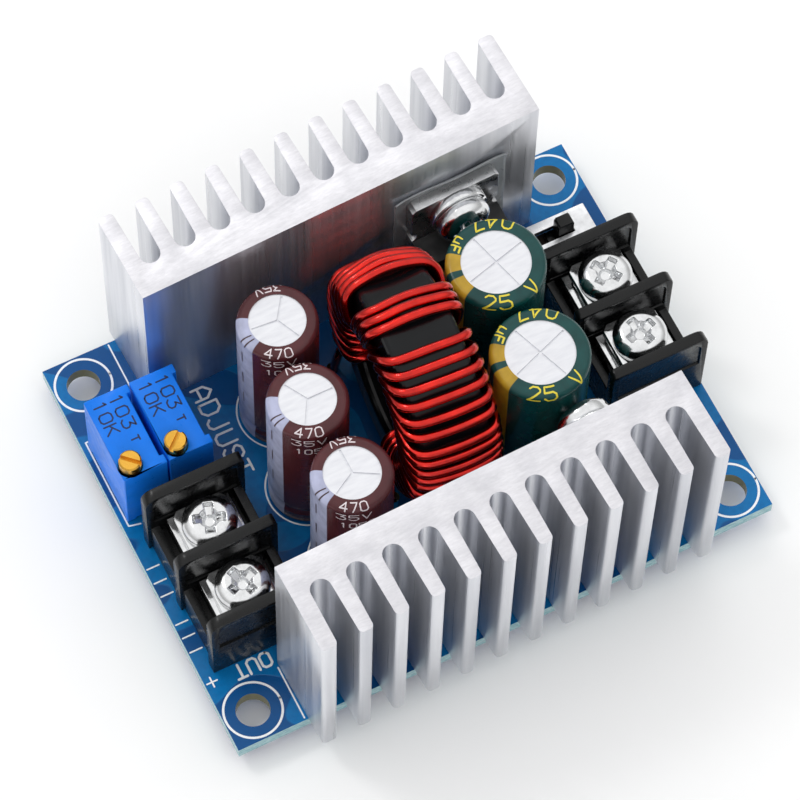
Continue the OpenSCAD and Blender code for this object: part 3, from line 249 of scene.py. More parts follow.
def sleeve_film(name, sleeve, film, band, faces, half, split=False):
    """Heat-shrunk PVC film, printed before it was shrunk: glossy, with waves 2 mm long where it shrank
    unevenly. A band of its own colour marks the negative lead; it points to the angle faces and is half
    wide each way, with a line of the film's own colour down its middle where split is set."""
    mat, tree, mm = blank(name)
    low, high = box_mm(sleeve)
    centre = ((low.x + high.x) / 2, (low.y + high.y) / 2, 0)
    here = add(tree, "ShaderNodeVectorMath", {0: mm, 1: centre}, operation="SUBTRACT")[0]
    turned = add(tree, "ShaderNodeVectorRotate", {"Vector": here, "Angle": -math.radians(faces)},
                 rotation_type="Z_AXIS")[0]
    across = add(tree, "ShaderNodeSeparateXYZ", {0: turned})
    radians = add(tree, "ShaderNodeMath", {0: across["Y"], 1: across["X"]}, operation="ARCTAN2")[0]
    angle = add(tree, "ShaderNodeMath", {0: radians, 1: 180 / math.pi}, operation="MULTIPLY")[0]
    off = add(tree, "ShaderNodeMath", {0: angle}, operation="ABSOLUTE")[0]
    inside = add(tree, "ShaderNodeMapRange", {0: off, 1: half + 0.6, 2: half - 0.6})[0]
    if split:
        clear = add(tree, "ShaderNodeMapRange", {0: off, 1: 4.6, 2: 5.6})[0]
        inside = add(tree, "ShaderNodeMath", {0: inside, 1: clear}, operation="MULTIPLY")[0]
    colour = add(tree, "ShaderNodeMix", {0: inside, 6: linear(film), 7: linear(band)}, data_type="RGBA")[2]
    clouds = add(tree, "ShaderNodeTexNoise", {"Vector": mm, "Scale": 0.7, "Detail": 3.0})[0]
    shade = add(tree, "ShaderNodeMapRange", {0: clouds, 1: 0.35, 2: 0.75, 3: 0.0, 4: 0.3})[0]
    colour = add(tree, "ShaderNodeMix", {0: shade, 6: colour, 7: linear("#0a0808")}, data_type="RGBA")[2]
    waves_along = add(tree, "ShaderNodeMapping", {"Vector": mm, "Scale": (0.6, 0.6, 0.25)})[0]
    waves = add(tree, "ShaderNodeTexNoise", {"Vector": waves_along, "Scale": 1.0, "Detail": 2.0})[0]
    bump = add(tree, "ShaderNodeBump", {"Height": waves, "Strength": 0.4, "Distance": 0.06 * MM})[0]
    shader = add(tree, "ShaderNodeBsdfPrincipled", {
        "Base Color": colour, "Roughness": 0.24, "IOR": 1.5, "Specular IOR Level": 0.35, "Normal": bump})[0]
    add(tree, "ShaderNodeOutputMaterial", {"Surface": shader})
    return mat


def drawn_can():
    """Drawn aluminium can, etched to a satin white, with soft handling marks some 2 mm long."""
    mat, tree, mm = blank("drawn_can_aluminium")
    slant = add(tree, "ShaderNodeMapping", {"Vector": mm, "Rotation": (0, 0, 0.7), "Scale": (0.5, 2.2, 1)})[0]
    marks = add(tree, "ShaderNodeTexNoise", {"Vector": slant, "Scale": 1.0, "Detail": 4.0})[0]
    shade = add(tree, "ShaderNodeMapRange", {0: marks, 1: 0.35, 2: 0.75})[0]
    colour = add(tree, "ShaderNodeMix", {0: shade, 6: linear("#e4e5e9"), 7: linear("#dadbe0")},
                 data_type="RGBA")[2]
    rough = add(tree, "ShaderNodeMapRange", {0: marks, 1: 0.3, 2: 0.7, 3: 0.4, 4: 0.55})[0]
    bump = add(tree, "ShaderNodeBump", {"Height": marks, "Strength": 0.4, "Distance": 0.02 * MM})[0]
    shader = add(tree, "ShaderNodeBsdfPrincipled", {"Base Color": colour, "Metallic": 0.6, "Roughness": rough,
                                                   "Normal": bump})[0]
    add(tree, "ShaderNodeOutputMaterial", {"Surface": shader})
    return mat


def box_mm(node):
    """Lowest and highest corner of a CAD node, in millimetres."""
    low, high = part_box(node)
    return low / MM, high / MM


FINISHES = {
    "solder_mask": masked_laminate(),
    "extruded_aluminium": extruded_aluminium(),
    "tinned_metal": bright_metal("bright_tin_plate", "#c6c7c8", 0.27),
    "nickel_plate": bright_metal("nickel_plated_steel", "#e2e3e4", 0.13, 0.6, 0.02),
    "switch_steel": bright_metal("tinned_sheet_steel", "#e9eaec", 0.32),
    "brass_screw": bright_metal("turned_brass", "#e6b04a", 0.25, 0.3),
    "moulding_compound": moulded("moulded_epoxy", "#1b1c1e", 0.55),
    "black_nylon": moulded("moulded_black_nylon", "#0c0d0e", 0.27, 0.6, 0.015, 0.3),
    "blue_plastic": moulded("moulded_blue_polyester", "#127df2", 0.34, 0.3, 0.008, 0.22, 0.9),
    "pale_resin": moulded("cast_epoxy_resin", "#d6d6cc", 0.5),
    "brown_laminate": moulded("phenolic_board", "#33261f", 0.6),
    "core_coating": moulded("epoxy_coated_powder_core", "#0d0f12", 0.2, 0.7, 0.03, 0.24),
    "insulating_pad": moulded("silicone_coated_glass_cloth", "#8d9194", 0.33, 0.35, 0.02, 0.7),
    "rubber_bung": moulded("moulded_rubber", "#161616", 0.7),
    "resistor_film": moulded("glazed_resistor_film", "#141416", 0.25),
    "ceramic": moulded("fired_ceramic", "#a88660", 0.5),
    "red_enamel": wire_enamel(),
    "can_aluminium": drawn_can(),
}
white_ink = screened_ink("white_legend_ink", "#f8fbfd")
case_ink = screened_ink("dark_blue_case_ink", "#08204e")
yellow_ink = screened_ink("yellow_sleeve_ink", "#e3d13a", 0.35)
pale_ink = screened_ink("pale_sleeve_ink", "#e2d7da", 0.35)
dark_ink = screened_ink("dark_sleeve_ink", "#3a1f24", 0.35)


def dress(obj, material):
    """Gives an object its one material."""
    obj.data.materials.clear()
    obj.data.materials.append(material)


BROWN_BAND, GREEN_BAND = 178.5, 173.5  # degrees round the cans that the bands face
OUTPUT_SLEEVES = [f"output_capacitor_{i}_sleeve" for i in (1, 2, 3)]
INPUT_SLEEVES = [f"input_capacitor_{i}_sleeve" for i in (1, 2)]
for node, solid in frame["nodes"].items():
    if node in OUTPUT_SLEEVES:
        number = OUTPUT_SLEEVES.index(node) + 1
        dress(solid, sleeve_film(f"brown_film_{number}", node, "#54262a", "#b9bdd9", BROWN_BAND, 28.5))
    elif node in INPUT_SLEEVES:
        number = INPUT_SLEEVES.index(node) + 1
        dress(solid, sleeve_film(f"green_film_{number}", node, "#0c4644", "#bd9a2e", GREEN_BAND, 31.5, True))
    else:
        dress(solid, FINISHES[slot_of[node]])


# ---------------------------------------------------------------- meshes
def piece(name, points, faces, material, slot, body="module", smooth=True):
    """A mesh piece that rides on a CAD body; points are in millimetres."""
    mesh = bpy.data.meshes.new(name)
    mesh.from_pydata([tuple(c * MM for c in p) for p in points], [], faces)
    mesh.validate()
    for face in mesh.polygons:
        face.use_smooth = smooth
    obj = bpy.data.objects.new(name, mesh)
    scene.collection.objects.link(obj)
    mesh.materials.append(material)
    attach(obj, body)
    return obj


EASE_STEPS, SHARP = 2, 40  # facets across a broken edge; edges over this many degrees are broken


def eased(node, width):
    """The CAD piece with its sharp edges broken by a small radius, so that they catch the light."""
    mesh = frame["nodes"][node].data.copy()
    mesh.name = node + "_eased"
    tidy = bmesh.new()
    tidy.from_mesh(mesh)
    bmesh.ops.remove_doubles(tidy, verts=tidy.verts, dist=0.002 * MM)
    bmesh.ops.dissolve_limit(tidy, angle_limit=math.radians(1), verts=tidy.verts, edges=tidy.edges)
    tidy.to_mesh(mesh)
    tidy.free()
    if mesh.has_custom_normals:
        mesh.normals_split_custom_set([(0, 0, 0)] * len(mesh.loops))
    for face in mesh.polygons:
        face.use_smooth = True
    obj = bpy.data.objects.new(node + "_eased", mesh)
    scene.collection.objects.link(obj)
    bevel = obj.modifiers.new("eased edges", "BEVEL")
    bevel.width = width * MM
    bevel.segments = EASE_STEPS
    bevel.limit_method = "ANGLE"
    bevel.angle_limit = math.radians(SHARP)
    bevel.harden_normals = True
    dress(obj, FINISHES[slot_of[node]])
    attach(obj, body_of[node])
    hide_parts(node)
    return obj


def grid_faces(rows, columns, start=0, closed=False):
    """Quads of a grid of points, rows after rows; closed joins the last column to the first."""
    faces = []
    for i in range(rows - 1):
        for k in range(columns if closed else columns - 1):
            m = (k + 1) % columns
            faces.append((start + i * columns + k, start + i * columns + m,
                          start + (i + 1) * columns + m, start + (i + 1) * columns + k))
    return faces


def tube(path, radius, sides):
    """Points and faces of a round wire along a path, with its ring carried along without twist."""
    points = []
    normal = None
    last = len(path) - 1
    for i, p in enumerate(path):
        along = (path[min(i + 1, last)] - path[max(i - 1, 0)]).normalized()
        if normal is None:
            normal = along.orthogonal().normalized()
        normal = (normal - along * normal.dot(along)).normalized()
        across = along.cross(normal)
        for k in range(sides):
            a = 2 * math.pi * k / sides
            points.append(p + radius * (math.cos(a) * normal + math.sin(a) * across))
    faces = grid_faces(len(path), sides, closed=True)
    faces.append(tuple(range(sides - 1, -1, -1)))
    faces.append(tuple(last * sides + k for k in range(sides)))
    return points, faces


# Letters and digits as pen strokes on a grid 4 wide and 6 high
PEN = {
    "0": [[(1, 0), (3, 0), (4, 1), (4, 5), (3, 6), (1, 6), (0, 5), (0, 1), (1, 0)]],
    "1": [[(1, 5), (2, 6), (2, 0)]],
    "2": [[(0, 5), (1, 6), (3, 6), (4, 5), (4, 4), (0, 0), (4, 0)]],
    "3": [[(0, 6), (4, 6), (2, 3.6), (3, 3.6), (4, 2.6), (4, 1), (3, 0), (1, 0), (0, 1)]],
    "4": [[(3, 0), (3, 6), (0, 2), (4, 2)]],
    "5": [[(4, 6), (0, 6), (0, 3.4), (3, 3.6), (4, 2.6), (4, 1), (3, 0), (1, 0), (0, 1)]],
    "7": [[(0, 6), (4, 6), (1.5, 0)]],
    "A": [[(0, 0), (0, 4), (2, 6), (4, 4), (4, 0)], [(0, 2), (4, 2)]],
    "C": [[(4, 5), (3, 6), (1, 6), (0, 5), (0, 1), (1, 0), (3, 0), (4, 1)]],
    "D": [[(0, 0), (0, 6), (2.6, 6), (4, 4.6), (4, 1.4), (2.6, 0), (0, 0)]],
    "F": [[(0, 0), (0, 6), (4, 6)], [(0, 3.2), (3, 3.2)]],
    "J": [[(3.4, 6), (3.4, 1), (2.4, 0), (1, 0), (0, 1)]],
    "K": [[(0, 0), (0, 6)], [(4, 6), (0, 2.6)], [(1.3, 3.6), (4, 0)]],
    "O": [[(1, 0), (3, 0), (4, 1), (4, 5), (3, 6), (1, 6), (0, 5), (0, 1), (1, 0)]],
    "S": [[(4, 5), (3, 6), (1, 6), (0, 5), (0, 4.2), (1, 3.2), (3, 2.8), (4, 1.8), (4, 1), (3, 0), (1, 0),
           (0, 1)]],
    "T": [[(0, 6), (4, 6)], [(2, 6), (2, 0)]],
    "U": [[(0, 6), (0, 1), (1, 0), (3, 0), (4, 1), (4, 6)]],
    "V": [[(0, 6), (2, 0), (4, 6)]],
    "u": [[(0, -1.6), (0, 4)], [(0, 1), (1, 0), (2.6, 0), (3.6, 1)], [(3.6, 4), (3.6, 0)]],
    "+": [[(0, 3), (4, 3)], [(2, 1), (2, 5)]],
}
PEN_W, PEN_H, PEN_STEP = 4, 6, 5.6  # a letter's width and height, and the step to the next


def pen_lines(text, x, y, height, squeeze=1.0):
    """Stroke lines of a word from its lower left corner at x, y, in millimetres."""
    unit = height / PEN_H
    lines = []
    for i, letter in enumerate(text):
        for stroke in PEN[letter]:
            lines.append([(x + (i * PEN_STEP + u) * unit * squeeze, y + v * unit) for u, v in stroke])
    return lines


def inked(name, lines, width, place, material, slot, step=0.4):
    """Printed strokes: each line becomes a flat ribbon with round ends, laid on a surface by place(u, v,
    lift). Strokes that cross, and the ends on them, lie a few thousandths of a millimetre apart."""
    points, faces = [], []
    for k, line in enumerate(lines):
        lift = (k % INK_LEVELS) * 2 * INK_STEP
        for (u0, v0), (u1, v1) in zip(line, line[1:]):
            length = math.hypot(u1 - u0, v1 - v0) or 1
            nu, nv = -(v1 - v0) / length * width / 2, (u1 - u0) / length * width / 2
            parts = max(1, math.ceil(length / step))
            start = len(points)
            for i in range(parts + 1):
                u, v = u0 + (u1 - u0) * i / parts, v0 + (v1 - v0) * i / parts
                points += [place(u + nu, v + nv, lift), place(u - nu, v - nv, lift)]
            faces += grid_faces(parts + 1, 2, start)
        for u, v in line:
            start = len(points)
            around = ring_line(u, v, width / 2, END_SIDES)[:-1]
            points += [place(end_u, end_v, lift + INK_STEP) for end_u, end_v in around]
            faces.append(tuple(range(start, start + END_SIDES)))
    return piece(name, points, faces, material, slot, smooth=False)


board_low, board_high = box_mm("board")
TOP = board_high.z
INK = 0.015  # how far printed ink stands proud
INK_STEP = 0.001  # between strokes that cross
INK_LEVELS = 4  # heights that strokes take in turn
END_SIDES = 8  # corners of a stroke's round end


# ---------------------------------------------------------------- printed marks
def on_level(z):
    """Places print on a level face at height z."""
    return lambda u, v, lift: (u, v, z + INK + lift)


def turned_lines(lines, x, y, angle):
    """Lines turned about 0, 0 by quarter turns or any angle in degrees, then moved to x, y."""
    c, s = math.cos(math.radians(angle)), math.sin(math.radians(angle))
    return [[(x + u * c - v * s, y + u * s + v * c) for u, v in line] for line in lines]


def ring_line(x, y, r, steps=64):
    """A closed circle as one line; its last point is its first."""
    return [(x + r * math.cos(2 * math.pi * i / steps), y + r * math.sin(2 * math.pi * i / steps))
            for i in range(steps + 1)]


HOLE_INSET = (3.15, 3.25)  # the fixing holes' middles, in from the board's edges
HOLE_RING = 2.95  # radius of the printed ring round a hole
CAN_RING_GAP = 0.28  # from a capacitor's film to the ring printed round it
SINK_LINE_X, SINK_LINE_Y = 22.65, 16.9  # where the lines beside the heatsinks start
FINE, BOLD = 0.17, 0.26  # widths of printed lines
PIN_TICKS = (-1.6, -3.3, -4.9, -8.3, -9.9, -11.6)  # ticks along the edge beside the output terminal


def board_print():
    """White legend on the board: rings round the holes, outlines, pin ticks, and ADJUST, OUT and a plus
    sign."""
    hole_x, hole_y = board_high.x - HOLE_INSET[0], board_high.y - HOLE_INSET[1]
    rings = [ring_line(sx * hole_x, sy * hole_y, HOLE_RING) for sx in (-1, 1) for sy in (-1, 1)]
    inked("board_rings", rings, 0.24, on_level(TOP), white_ink, "solder_mask")
    lines = [[(sx * SINK_LINE_X, sy * SINK_LINE_Y), (sx * SINK_LINE_X, sy * (board_high.y - 0.25))]
             for sx in (-1, 1) for sy in (-1, 1)]
    for sleeve in OUTPUT_SLEEVES + INPUT_SLEEVES:
        low, high = box_mm(sleeve)
        ring = (high.x - low.x) / 2 + CAN_RING_GAP
        lines.append(ring_line((low.x + high.x) / 2, (low.y + high.y) / 2, ring))
    case_low, case_high = box_mm("trimmer_1_case")
    left, front, rear = case_low.x - 0.12, case_low.y - 0.4, case_high.y + 0.35
    lines += [[(left, rear), (left, front), (left + 1.2, front - 0.27)], [(left, rear), (case_high.x, rear)]]
    block_low = box_mm("output_terminal_block")[0]
    tick_x = (board_low.x + 0.2, block_low.x + 0.1)
    lines += [[(tick_x[0], y), (tick_x[1], y)] for y in PIN_TICKS]
    lines += turned_lines(pen_lines("+", -0.55, -0.82, 1.65), -29.2, -15.4, 0)
    inked("board_outlines", lines, FINE, on_level(TOP), white_ink, "solder_mask")

    words = turned_lines(pen_lines("ADJUST", 0, 0, 2.0), -17.4, 14.3, -90)
    words += turned_lines(pen_lines("OUT", 0, 0, 1.5, 1.0), -22.9, block_low.y - 0.25, 180)
    inked("board_words", words, BOLD, on_level(TOP), white_ink, "solder_mask")


def trimmer_print():
    """Resistance and its code on the top of each trimmer."""
    lines = []
    for node in ("trimmer_1_case", "trimmer_2_case"):
        low, high = box_mm(node)
        for text, x in (("103", high.x - 2.35), ("10K", high.x - 4.15)):
            lines += turned_lines(pen_lines(text, 0, 0, 1.3, 1.15), x, high.y - 0.7, -90)
        lines += turned_lines(pen_lines("T", 0, 0, 0.8, 1.0), high.x - 2.2, high.y - 5.6, -90)
    inked("trimmer_values", lines, FINE, on_level(high.z), case_ink, "blue_plastic")


SHOULDER = 0.7  # radius of the film where it folds over the can's rim


def on_sleeve(node, faces):
    """Places print on a capacitor's film: u runs round it from the angle faces, and v goes down from the
    edge of the window over the rolled rim and on down the side."""
    low, high = box_mm(node)
    x, y, r = (low.x + high.x) / 2, (low.y + high.y) / 2, (high.x - low.x) / 2
    window = 0.7 * r
    flat = r - SHOULDER - window
    arc = SHOULDER * math.pi / 2

    def place(u, v, lift):
        proud = INK + lift
        angle = math.radians(faces) + u / r
        if v < flat:
            out, z = window + v, high.z + proud
        elif v < flat + arc:
            tilt = (v - flat) / SHOULDER
            out = r - SHOULDER + (SHOULDER + proud) * math.sin(tilt)
            z = high.z - SHOULDER + (SHOULDER + proud) * math.cos(tilt)
        else:
            out, z = r + proud, high.z - SHOULDER - (v - flat - arc)
        return x + out * math.cos(angle), y + out * math.sin(angle), z

    return place


def round_text(text, height, down, across=0.0, squeeze=1.0):
    """A word for on_sleeve, centred on its angle plus across, its upper edge down below the window."""
    unit = height / PEN_H * squeeze
    length = (len(text) * PEN_STEP - PEN_STEP + PEN_W) * unit
    lines = pen_lines(text, across - length / 2, -down - height, height, squeeze)
    return [[(u, -v) for u, v in line] for line in lines]


# What is printed on the rims of the green capacitors: the angle that it faces, the text and its height
GREEN_RATINGS = ((245, "25", 1.5), (296, "V", 1.5), (128, "uF", 1.0), (78, "47", 1.4), (48, "0", 1.4))


def capacitor_print():
    """Ratings on the rims and sides, and minus marks in the bands beside the negative leads."""
    for i, node in enumerate(OUTPUT_SLEEVES):
        place = on_sleeve(node, 246)
        lines = round_text("470", 0.95, 0.35, squeeze=1.25)
        lines += round_text("35V", 1.1, 2.0, squeeze=1.25)
        lines += round_text("105C", 1.0, 3.9, 0.4)
        inked(f"brown_sleeve_ratings_{i + 1}", lines, 0.14, place, pale_ink, "brown_sleeve", 0.25)
        rear = on_sleeve(node, 80)
        inked(f"brown_sleeve_rear_{i + 1}", round_text("35V", 0.95, 0.35, squeeze=1.25), 0.14, rear, pale_ink,
              "brown_sleeve", 0.25)
        band = on_sleeve(node, BROWN_BAND)
        marks = [[(u, 1.75), (u + 0.25, 0.2)] for u in (0.35, 1.0)]
        marks += [[(0.5, 3.6 + k * 4.6), (0.5, 5.6 + k * 4.6)] for k in range(3)]
        inked(f"brown_sleeve_band_{i + 1}", marks, 0.16, band, dark_ink, "brown_sleeve", 0.25)
    for i, node in enumerate(INPUT_SLEEVES):
        for at, text, height in GREEN_RATINGS:
            inked(f"green_sleeve_ratings_{i + 1}_{at}", round_text(text, height, 0.3, squeeze=1.25), 0.2,
                  on_sleeve(node, at), yellow_ink, "green_sleeve", 0.25)
        band = [[(0, 3.6 + k * 4.4), (0, 5.8 + k * 4.4)] for k in range(3)]
        place = on_sleeve(node, GREEN_BAND)
        inked(f"green_sleeve_band_{i + 1}", band, 0.3, place, dark_ink, "green_sleeve", 0.25)


# ---------------------------------------------------------------- screws
RECESS_REACH, RECESS_HALF = 0.3, 0.088  # arms of the cross, as shares of the head's diameter
RECESS_CONE, RECESS_DEEP = 0.19, 0.24  # radius of the cone in its middle and its depth, as the same shares
HEAD_H, SHANK_D, THREAD_PITCH, THREAD_DEPTH = 2.0, 2.9, 0.5, 0.24  # of the M3 screws


def recess_depth(x, y, d):
    """Depth of a cross recess: four arms with steep walls that run down to a cone in the middle."""
    reach, half = RECESS_REACH * d, RECESS_HALF * d
    depth = 0.0
    for along, across in ((abs(x), abs(y)), (abs(y), abs(x))):
        floor = RECESS_DEEP * d * (1 - 0.7 * along / reach)
        depth = max(depth, min((half - across) * 5, (reach - along) * 2.2, floor))
    cone = min((RECESS_CONE * d - math.hypot(x, y)) * 2.4, RECESS_DEEP * d)
    return max(depth, cone, 0.0)


def head_height(rho, d, h):
    """Height of the domed head above its seat, at rho from its axis."""
    out = rho / (d / 2)
    share = max(0.0, (out - 0.6) / 0.4)
    rim = 0.45 * h
    crown = 0.12 * h * out * out
    return rim + (h - crown - rim) * math.sqrt(max(0.0, 1 - share * share))


def stamped_screw(node, d, pose, shank_l):
    """Pan-head screw with a stamped cross. pose takes the head's own frame, seat on z = 0, to its place."""
    rings, sides = 46, 144
    points, faces = [], []
    for i in range(rings):
        rho = d / 2 * (0.01 + 0.99 * (i / (rings - 1)) ** 0.85)
        for k in range(sides):
            a = 2 * math.pi * k / sides
            x, y = rho * math.cos(a), rho * math.sin(a)
            points.append((x, y, head_height(rho, d, HEAD_H) - recess_depth(x, y, d)))
    for rho, z in ((d / 2, 0.12), (d / 2 - 0.12, 0)):
        points += [(rho * math.cos(2 * math.pi * k / sides), rho * math.sin(2 * math.pi * k / sides), z)
                   for k in range(sides)]
    faces += [f[::-1] for f in grid_faces(rings + 2, sides, closed=True)]
    faces.append(tuple(range(sides)))
    start = len(points)
    turns, around = 90, 36
    for i in range(turns + 1):
        z = -shank_l * i / turns
        for k in range(around):
            a = 2 * math.pi * k / around
            ridge = abs(((z / THREAD_PITCH + k / around) % 1) - 0.5) * 2
            r = SHANK_D / 2 - (THREAD_DEPTH * (1 - ridge) if i > 2 else 0)
            points.append((r * math.cos(a), r * math.sin(a), z))
    faces += [f[::-1] for f in grid_faces(turns + 1, around, start, closed=True)]
    faces.append(tuple(start + turns * around + k for k in range(around)))
    slot = slot_of[node]
    obj = piece(node + "_stamped", [pose @ Vector(p) for p in points], faces, FINISHES[slot], slot,
                body_of[node])
    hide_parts(node)


def clamp_screw(node, turn):
    """A terminal's screw stands upright; its box gives the axis, the head's diameter and the tip."""
    low, high = box_mm(node)
    place = Matrix.Translation(((low.x + high.x) / 2, (low.y + high.y) / 2, high.z - HEAD_H))
    turned = place @ Matrix.Rotation(math.radians(turn), 4, "Z")
    stamped_screw(node, high.x - low.x, turned, high.z - HEAD_H - low.z)


REAR_TURN, FRONT_TURN = math.radians(2.1), math.radians(1.5)  # the heatsinks stand a little askew
REAR_WAY = Vector((math.sin(REAR_TURN), -math.cos(REAR_TURN), 0))  # off the rear heatsink's face
FRONT_WAY = Vector((-math.sin(FRONT_TURN), math.cos(FRONT_TURN), 0))  # off the front one's


def device_screw(node, way):
    """A device's screw lies level, its head away from the heatsink."""
    low, high = box_mm(node)
    d = high.z - low.z
    top = low.y if way.y < 0 else high.y
    seat = Vector(((low.x + high.x) / 2, top, (low.z + high.z) / 2)) - way * HEAD_H
    up = Vector((0, 0, 1))
    pose = Matrix((up.cross(way), up, way)).transposed().to_4x4()
    pose = Matrix.Translation(seat) @ pose
    turned = pose @ Matrix.Rotation(math.radians(20), 4, "Z")
    stamped_screw(node, d, turned, high.y - low.y - HEAD_H)


# ---------------------------------------------------------------- insulating pads
PAD_THICK, PAD_WIDTH = 0.2, 12.8
TAB_HALF = 5.05  # half of the tab that presses a pad flat
TAB_EDGE = 0.1  # how far past the tab a pad stays flat


def curled_pad(node, tab, way):
    """Soft pad behind a device: flat where the tab presses it, with its free edges curling off the
    heatsink."""
    across, up = 40, 48
    low, high = box_mm(node)
    tab_high = box_mm(tab)[1].z
    middle = (low + high) / 2
    along = way.cross(Vector((0, 0, 1)))
    wave = random.Random(7)
    phases = [wave.uniform(0, 2 * math.pi) for _ in range(3)]
    sheet = []
    for i in range(up + 1):
        z = low.z + (high.z - low.z) * i / up
        free_top = max(0.0, (z - tab_high - TAB_EDGE) / (high.z - tab_high - TAB_EDGE))
        for k in range(across + 1):
            u = PAD_WIDTH * (k / across - 0.5)
            free_side = max(0.0, (abs(u) - TAB_HALF) / (PAD_WIDTH / 2 - TAB_HALF))
            sideways = math.sin(u * 0.8 + phases[0])
            upwards = math.sin(z * 0.9 + u * 0.3 + phases[1])
            ripple = 0.5 + 0.25 * sideways + 0.25 * upwards
            off = 0.42 * free_top ** 2 * (0.6 + 0.8 * ripple) + 0.3 * free_side ** 2 * ripple
            sheet.append((u, z, off))
    points = []
    for side in (-PAD_THICK / 2, PAD_THICK / 2):
        points += [Vector((middle.x, middle.y, z)) + along * u + way * (off + side) for u, z, off in sheet]
    count, row = len(sheet), across + 1
    faces = grid_faces(up + 1, row) + [f[::-1] for f in grid_faces(up + 1, row, count)]
    border = ([k for k in range(row)] + [i * row + across for i in range(1, up + 1)]
              + [up * row + k for k in range(across - 1, -1, -1)] + [i * row for i in range(up - 1, 0, -1)])
    faces += [(a, b, b + count, a + count) for a, b in zip(border, border[1:] + border[:1])]
    slot = slot_of[node]
    pad = piece(node + "_curled", points, faces, FINISHES[slot], slot)
    tidy = bmesh.new()
    tidy.from_mesh(pad.data)
    bmesh.ops.recalc_face_normals(tidy, faces=tidy.faces)
    tidy.to_mesh(pad.data)
    tidy.free()
    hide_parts(node)


# ---------------------------------------------------------------- winding
WIRE_START = (-4.96, 9.26)  # where the wire's first end goes through the board, in the core's own frame


# Groups of turns: the angle of the first round the core, how many, degrees to the next, slack and bow
TURN_GROUPS = (
    (-39, 7, 10.4, 0.2, 0.1),
    (36, 4, 6.5, 0.6, 0.55),
    (77, 3, 6, 0.5, 0.5),
    (105.5, 6, 7.8, 0.3, 0.3),
    (155, 5, 6.5, 0.35, 0.3),
    (195, 6, 7, 0.4, 0.2),
)


def wound_wire():
    """The inductor's enamelled wire, drawn round and smooth. It follows the solid's route, bows a little
    over the outside, and starts lower at the rear, where the solid leaves the core bare."""
    core_od, core_id, core_w, core_round, wire_d, gap = 22.9, 14.0, 7.6, 0.8, 0.96, 0.08
    low, high = box_mm("inductor_core")
    centre = (low + high) / 2
    r = wire_d / 2
    out_r, in_r = core_od / 2 + r + gap, core_id / 2 - r - gap
    vary = random.Random(11)
    turns = [(first + i * step + vary.uniform(-0.5, 0.5), slack, bow * vary.uniform(0.8, 1.2))
             for first, count, step, slack, bow in TURN_GROUPS for i in range(count)]
    end_angle, inner_start, inner_step, lead_angle = 237, -36.8, 9.4, -52

    def at(x, radius, angle):
        a = math.radians(angle)
        return Vector((x, radius * math.cos(a), radius * math.sin(a)))

    def half_width(slack):
        return core_w / 2 + r + gap + slack

    def bend_radius(slack):
        return core_round + r + 1.45 * slack

    def face_angle(radius, inner, outer):
        return inner + (outer - inner) * (radius - in_r) / (out_r - in_r)

    def bend(side, edge, way, inner, outer, slack, flip):
        b = bend_radius(slack)
        steps = [90 * k / 8 for k in range(9)]
        points = []
        for s in [math.radians(t) for t in (reversed(steps) if flip else steps)]:
            radius = edge + way * (b - b * math.cos(s))
            points.append(at(side * (half_width(slack) - b + b * math.sin(s)), radius,
                             face_angle(radius, inner, outer)))
        return points

    def over_the_top(outer, slack, bow):
        """The stretch across the outside, which bows up between its two bends."""
        reach = half_width(slack) - bend_radius(slack)
        return [at(x * reach, out_r + bow * (1 - x * x), outer) for x in [k / 6 - 1 for k in range(1, 12)]]

    first_slack, last_slack = turns[0][1], turns[-1][1]
    lead_x, lead_y = WIRE_START
    end_y = out_r * math.cos(math.radians(end_angle))
    path = [Vector((lead_x, lead_y, z)) for z in (-centre.z, -centre.z + 2.5, -centre.z + 4.2)]
    path += bend(-1, out_r, -1, lead_angle, turns[0][0], first_slack, True)[2:]
    for i, (outer, slack, bow) in enumerate(turns):
        inner = inner_start + i * inner_step
        follow, next_slack = turns[i + 1][:2] if i + 1 < len(turns) else (end_angle, last_slack)
        path += over_the_top(outer, slack, bow)
        path += bend(1, out_r, -1, inner, outer, slack, False) + bend(1, in_r, 1, inner, outer, slack, True)
        path.append(at(0, in_r, inner))
        path += bend(-1, in_r, 1, inner, follow, slack, False)
        if i + 1 < len(turns):
            path += bend(-1, out_r, -1, inner, follow, next_slack, True)
    path += [Vector((-half_width(last_slack), end_y, z))
             for z in (out_r * math.sin(math.radians(end_angle)) - 0.2, -centre.z)]
    spin = Matrix.Rotation(math.radians(-3.8), 4, "Z")
    route = []
    for p in path:
        p = spin @ p + centre
        if not route or (p - route[-1]).length > 0.02:
            route.append(p)
    for _ in range(4):
        route = route[:1] + [(a + b * 2 + c) / 4 for a, b, c in zip(route, route[1:], route[2:])] + route[-1:]
    points, faces = tube(route, r, 16)
    wire = piece("inductor_wire", points, faces, FINISHES["red_enamel"], slot_of["inductor_winding"])
    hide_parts("inductor_winding")


# ---------------------------------------------------------------- assembly
EASED = {
    "rear_heatsink": 0.14, "front_heatsink": 0.14, "transistor_body": 0.1, "rectifier_body": 0.1,
    "transistor_frame": 0.07, "rectifier_frame": 0.07, "transistor_washer": 0.08, "rectifier_washer": 0.08,
    "output_terminal_block": 0.15, "input_terminal_block": 0.15,
    "output_terminal_contacts": 0.08, "input_terminal_contacts": 0.08,
    "output_clamp_1": 0.12, "output_clamp_2": 0.12, "input_clamp_1": 0.12, "input_clamp_2": 0.12,
    "trimmer_1_case": 0.15, "trimmer_2_case": 0.15, "switch_cover": 0.07, "switch_knob": 0.1,
}
for node, width in EASED.items():
    eased(node, width)
for node, turn in (("output_clamp_screw_1", 20), ("output_clamp_screw_2", 70),
                   ("input_clamp_screw_1", 15), ("input_clamp_screw_2", 35)):
    clamp_screw(node, turn)
device_screw("transistor_screw", REAR_WAY)
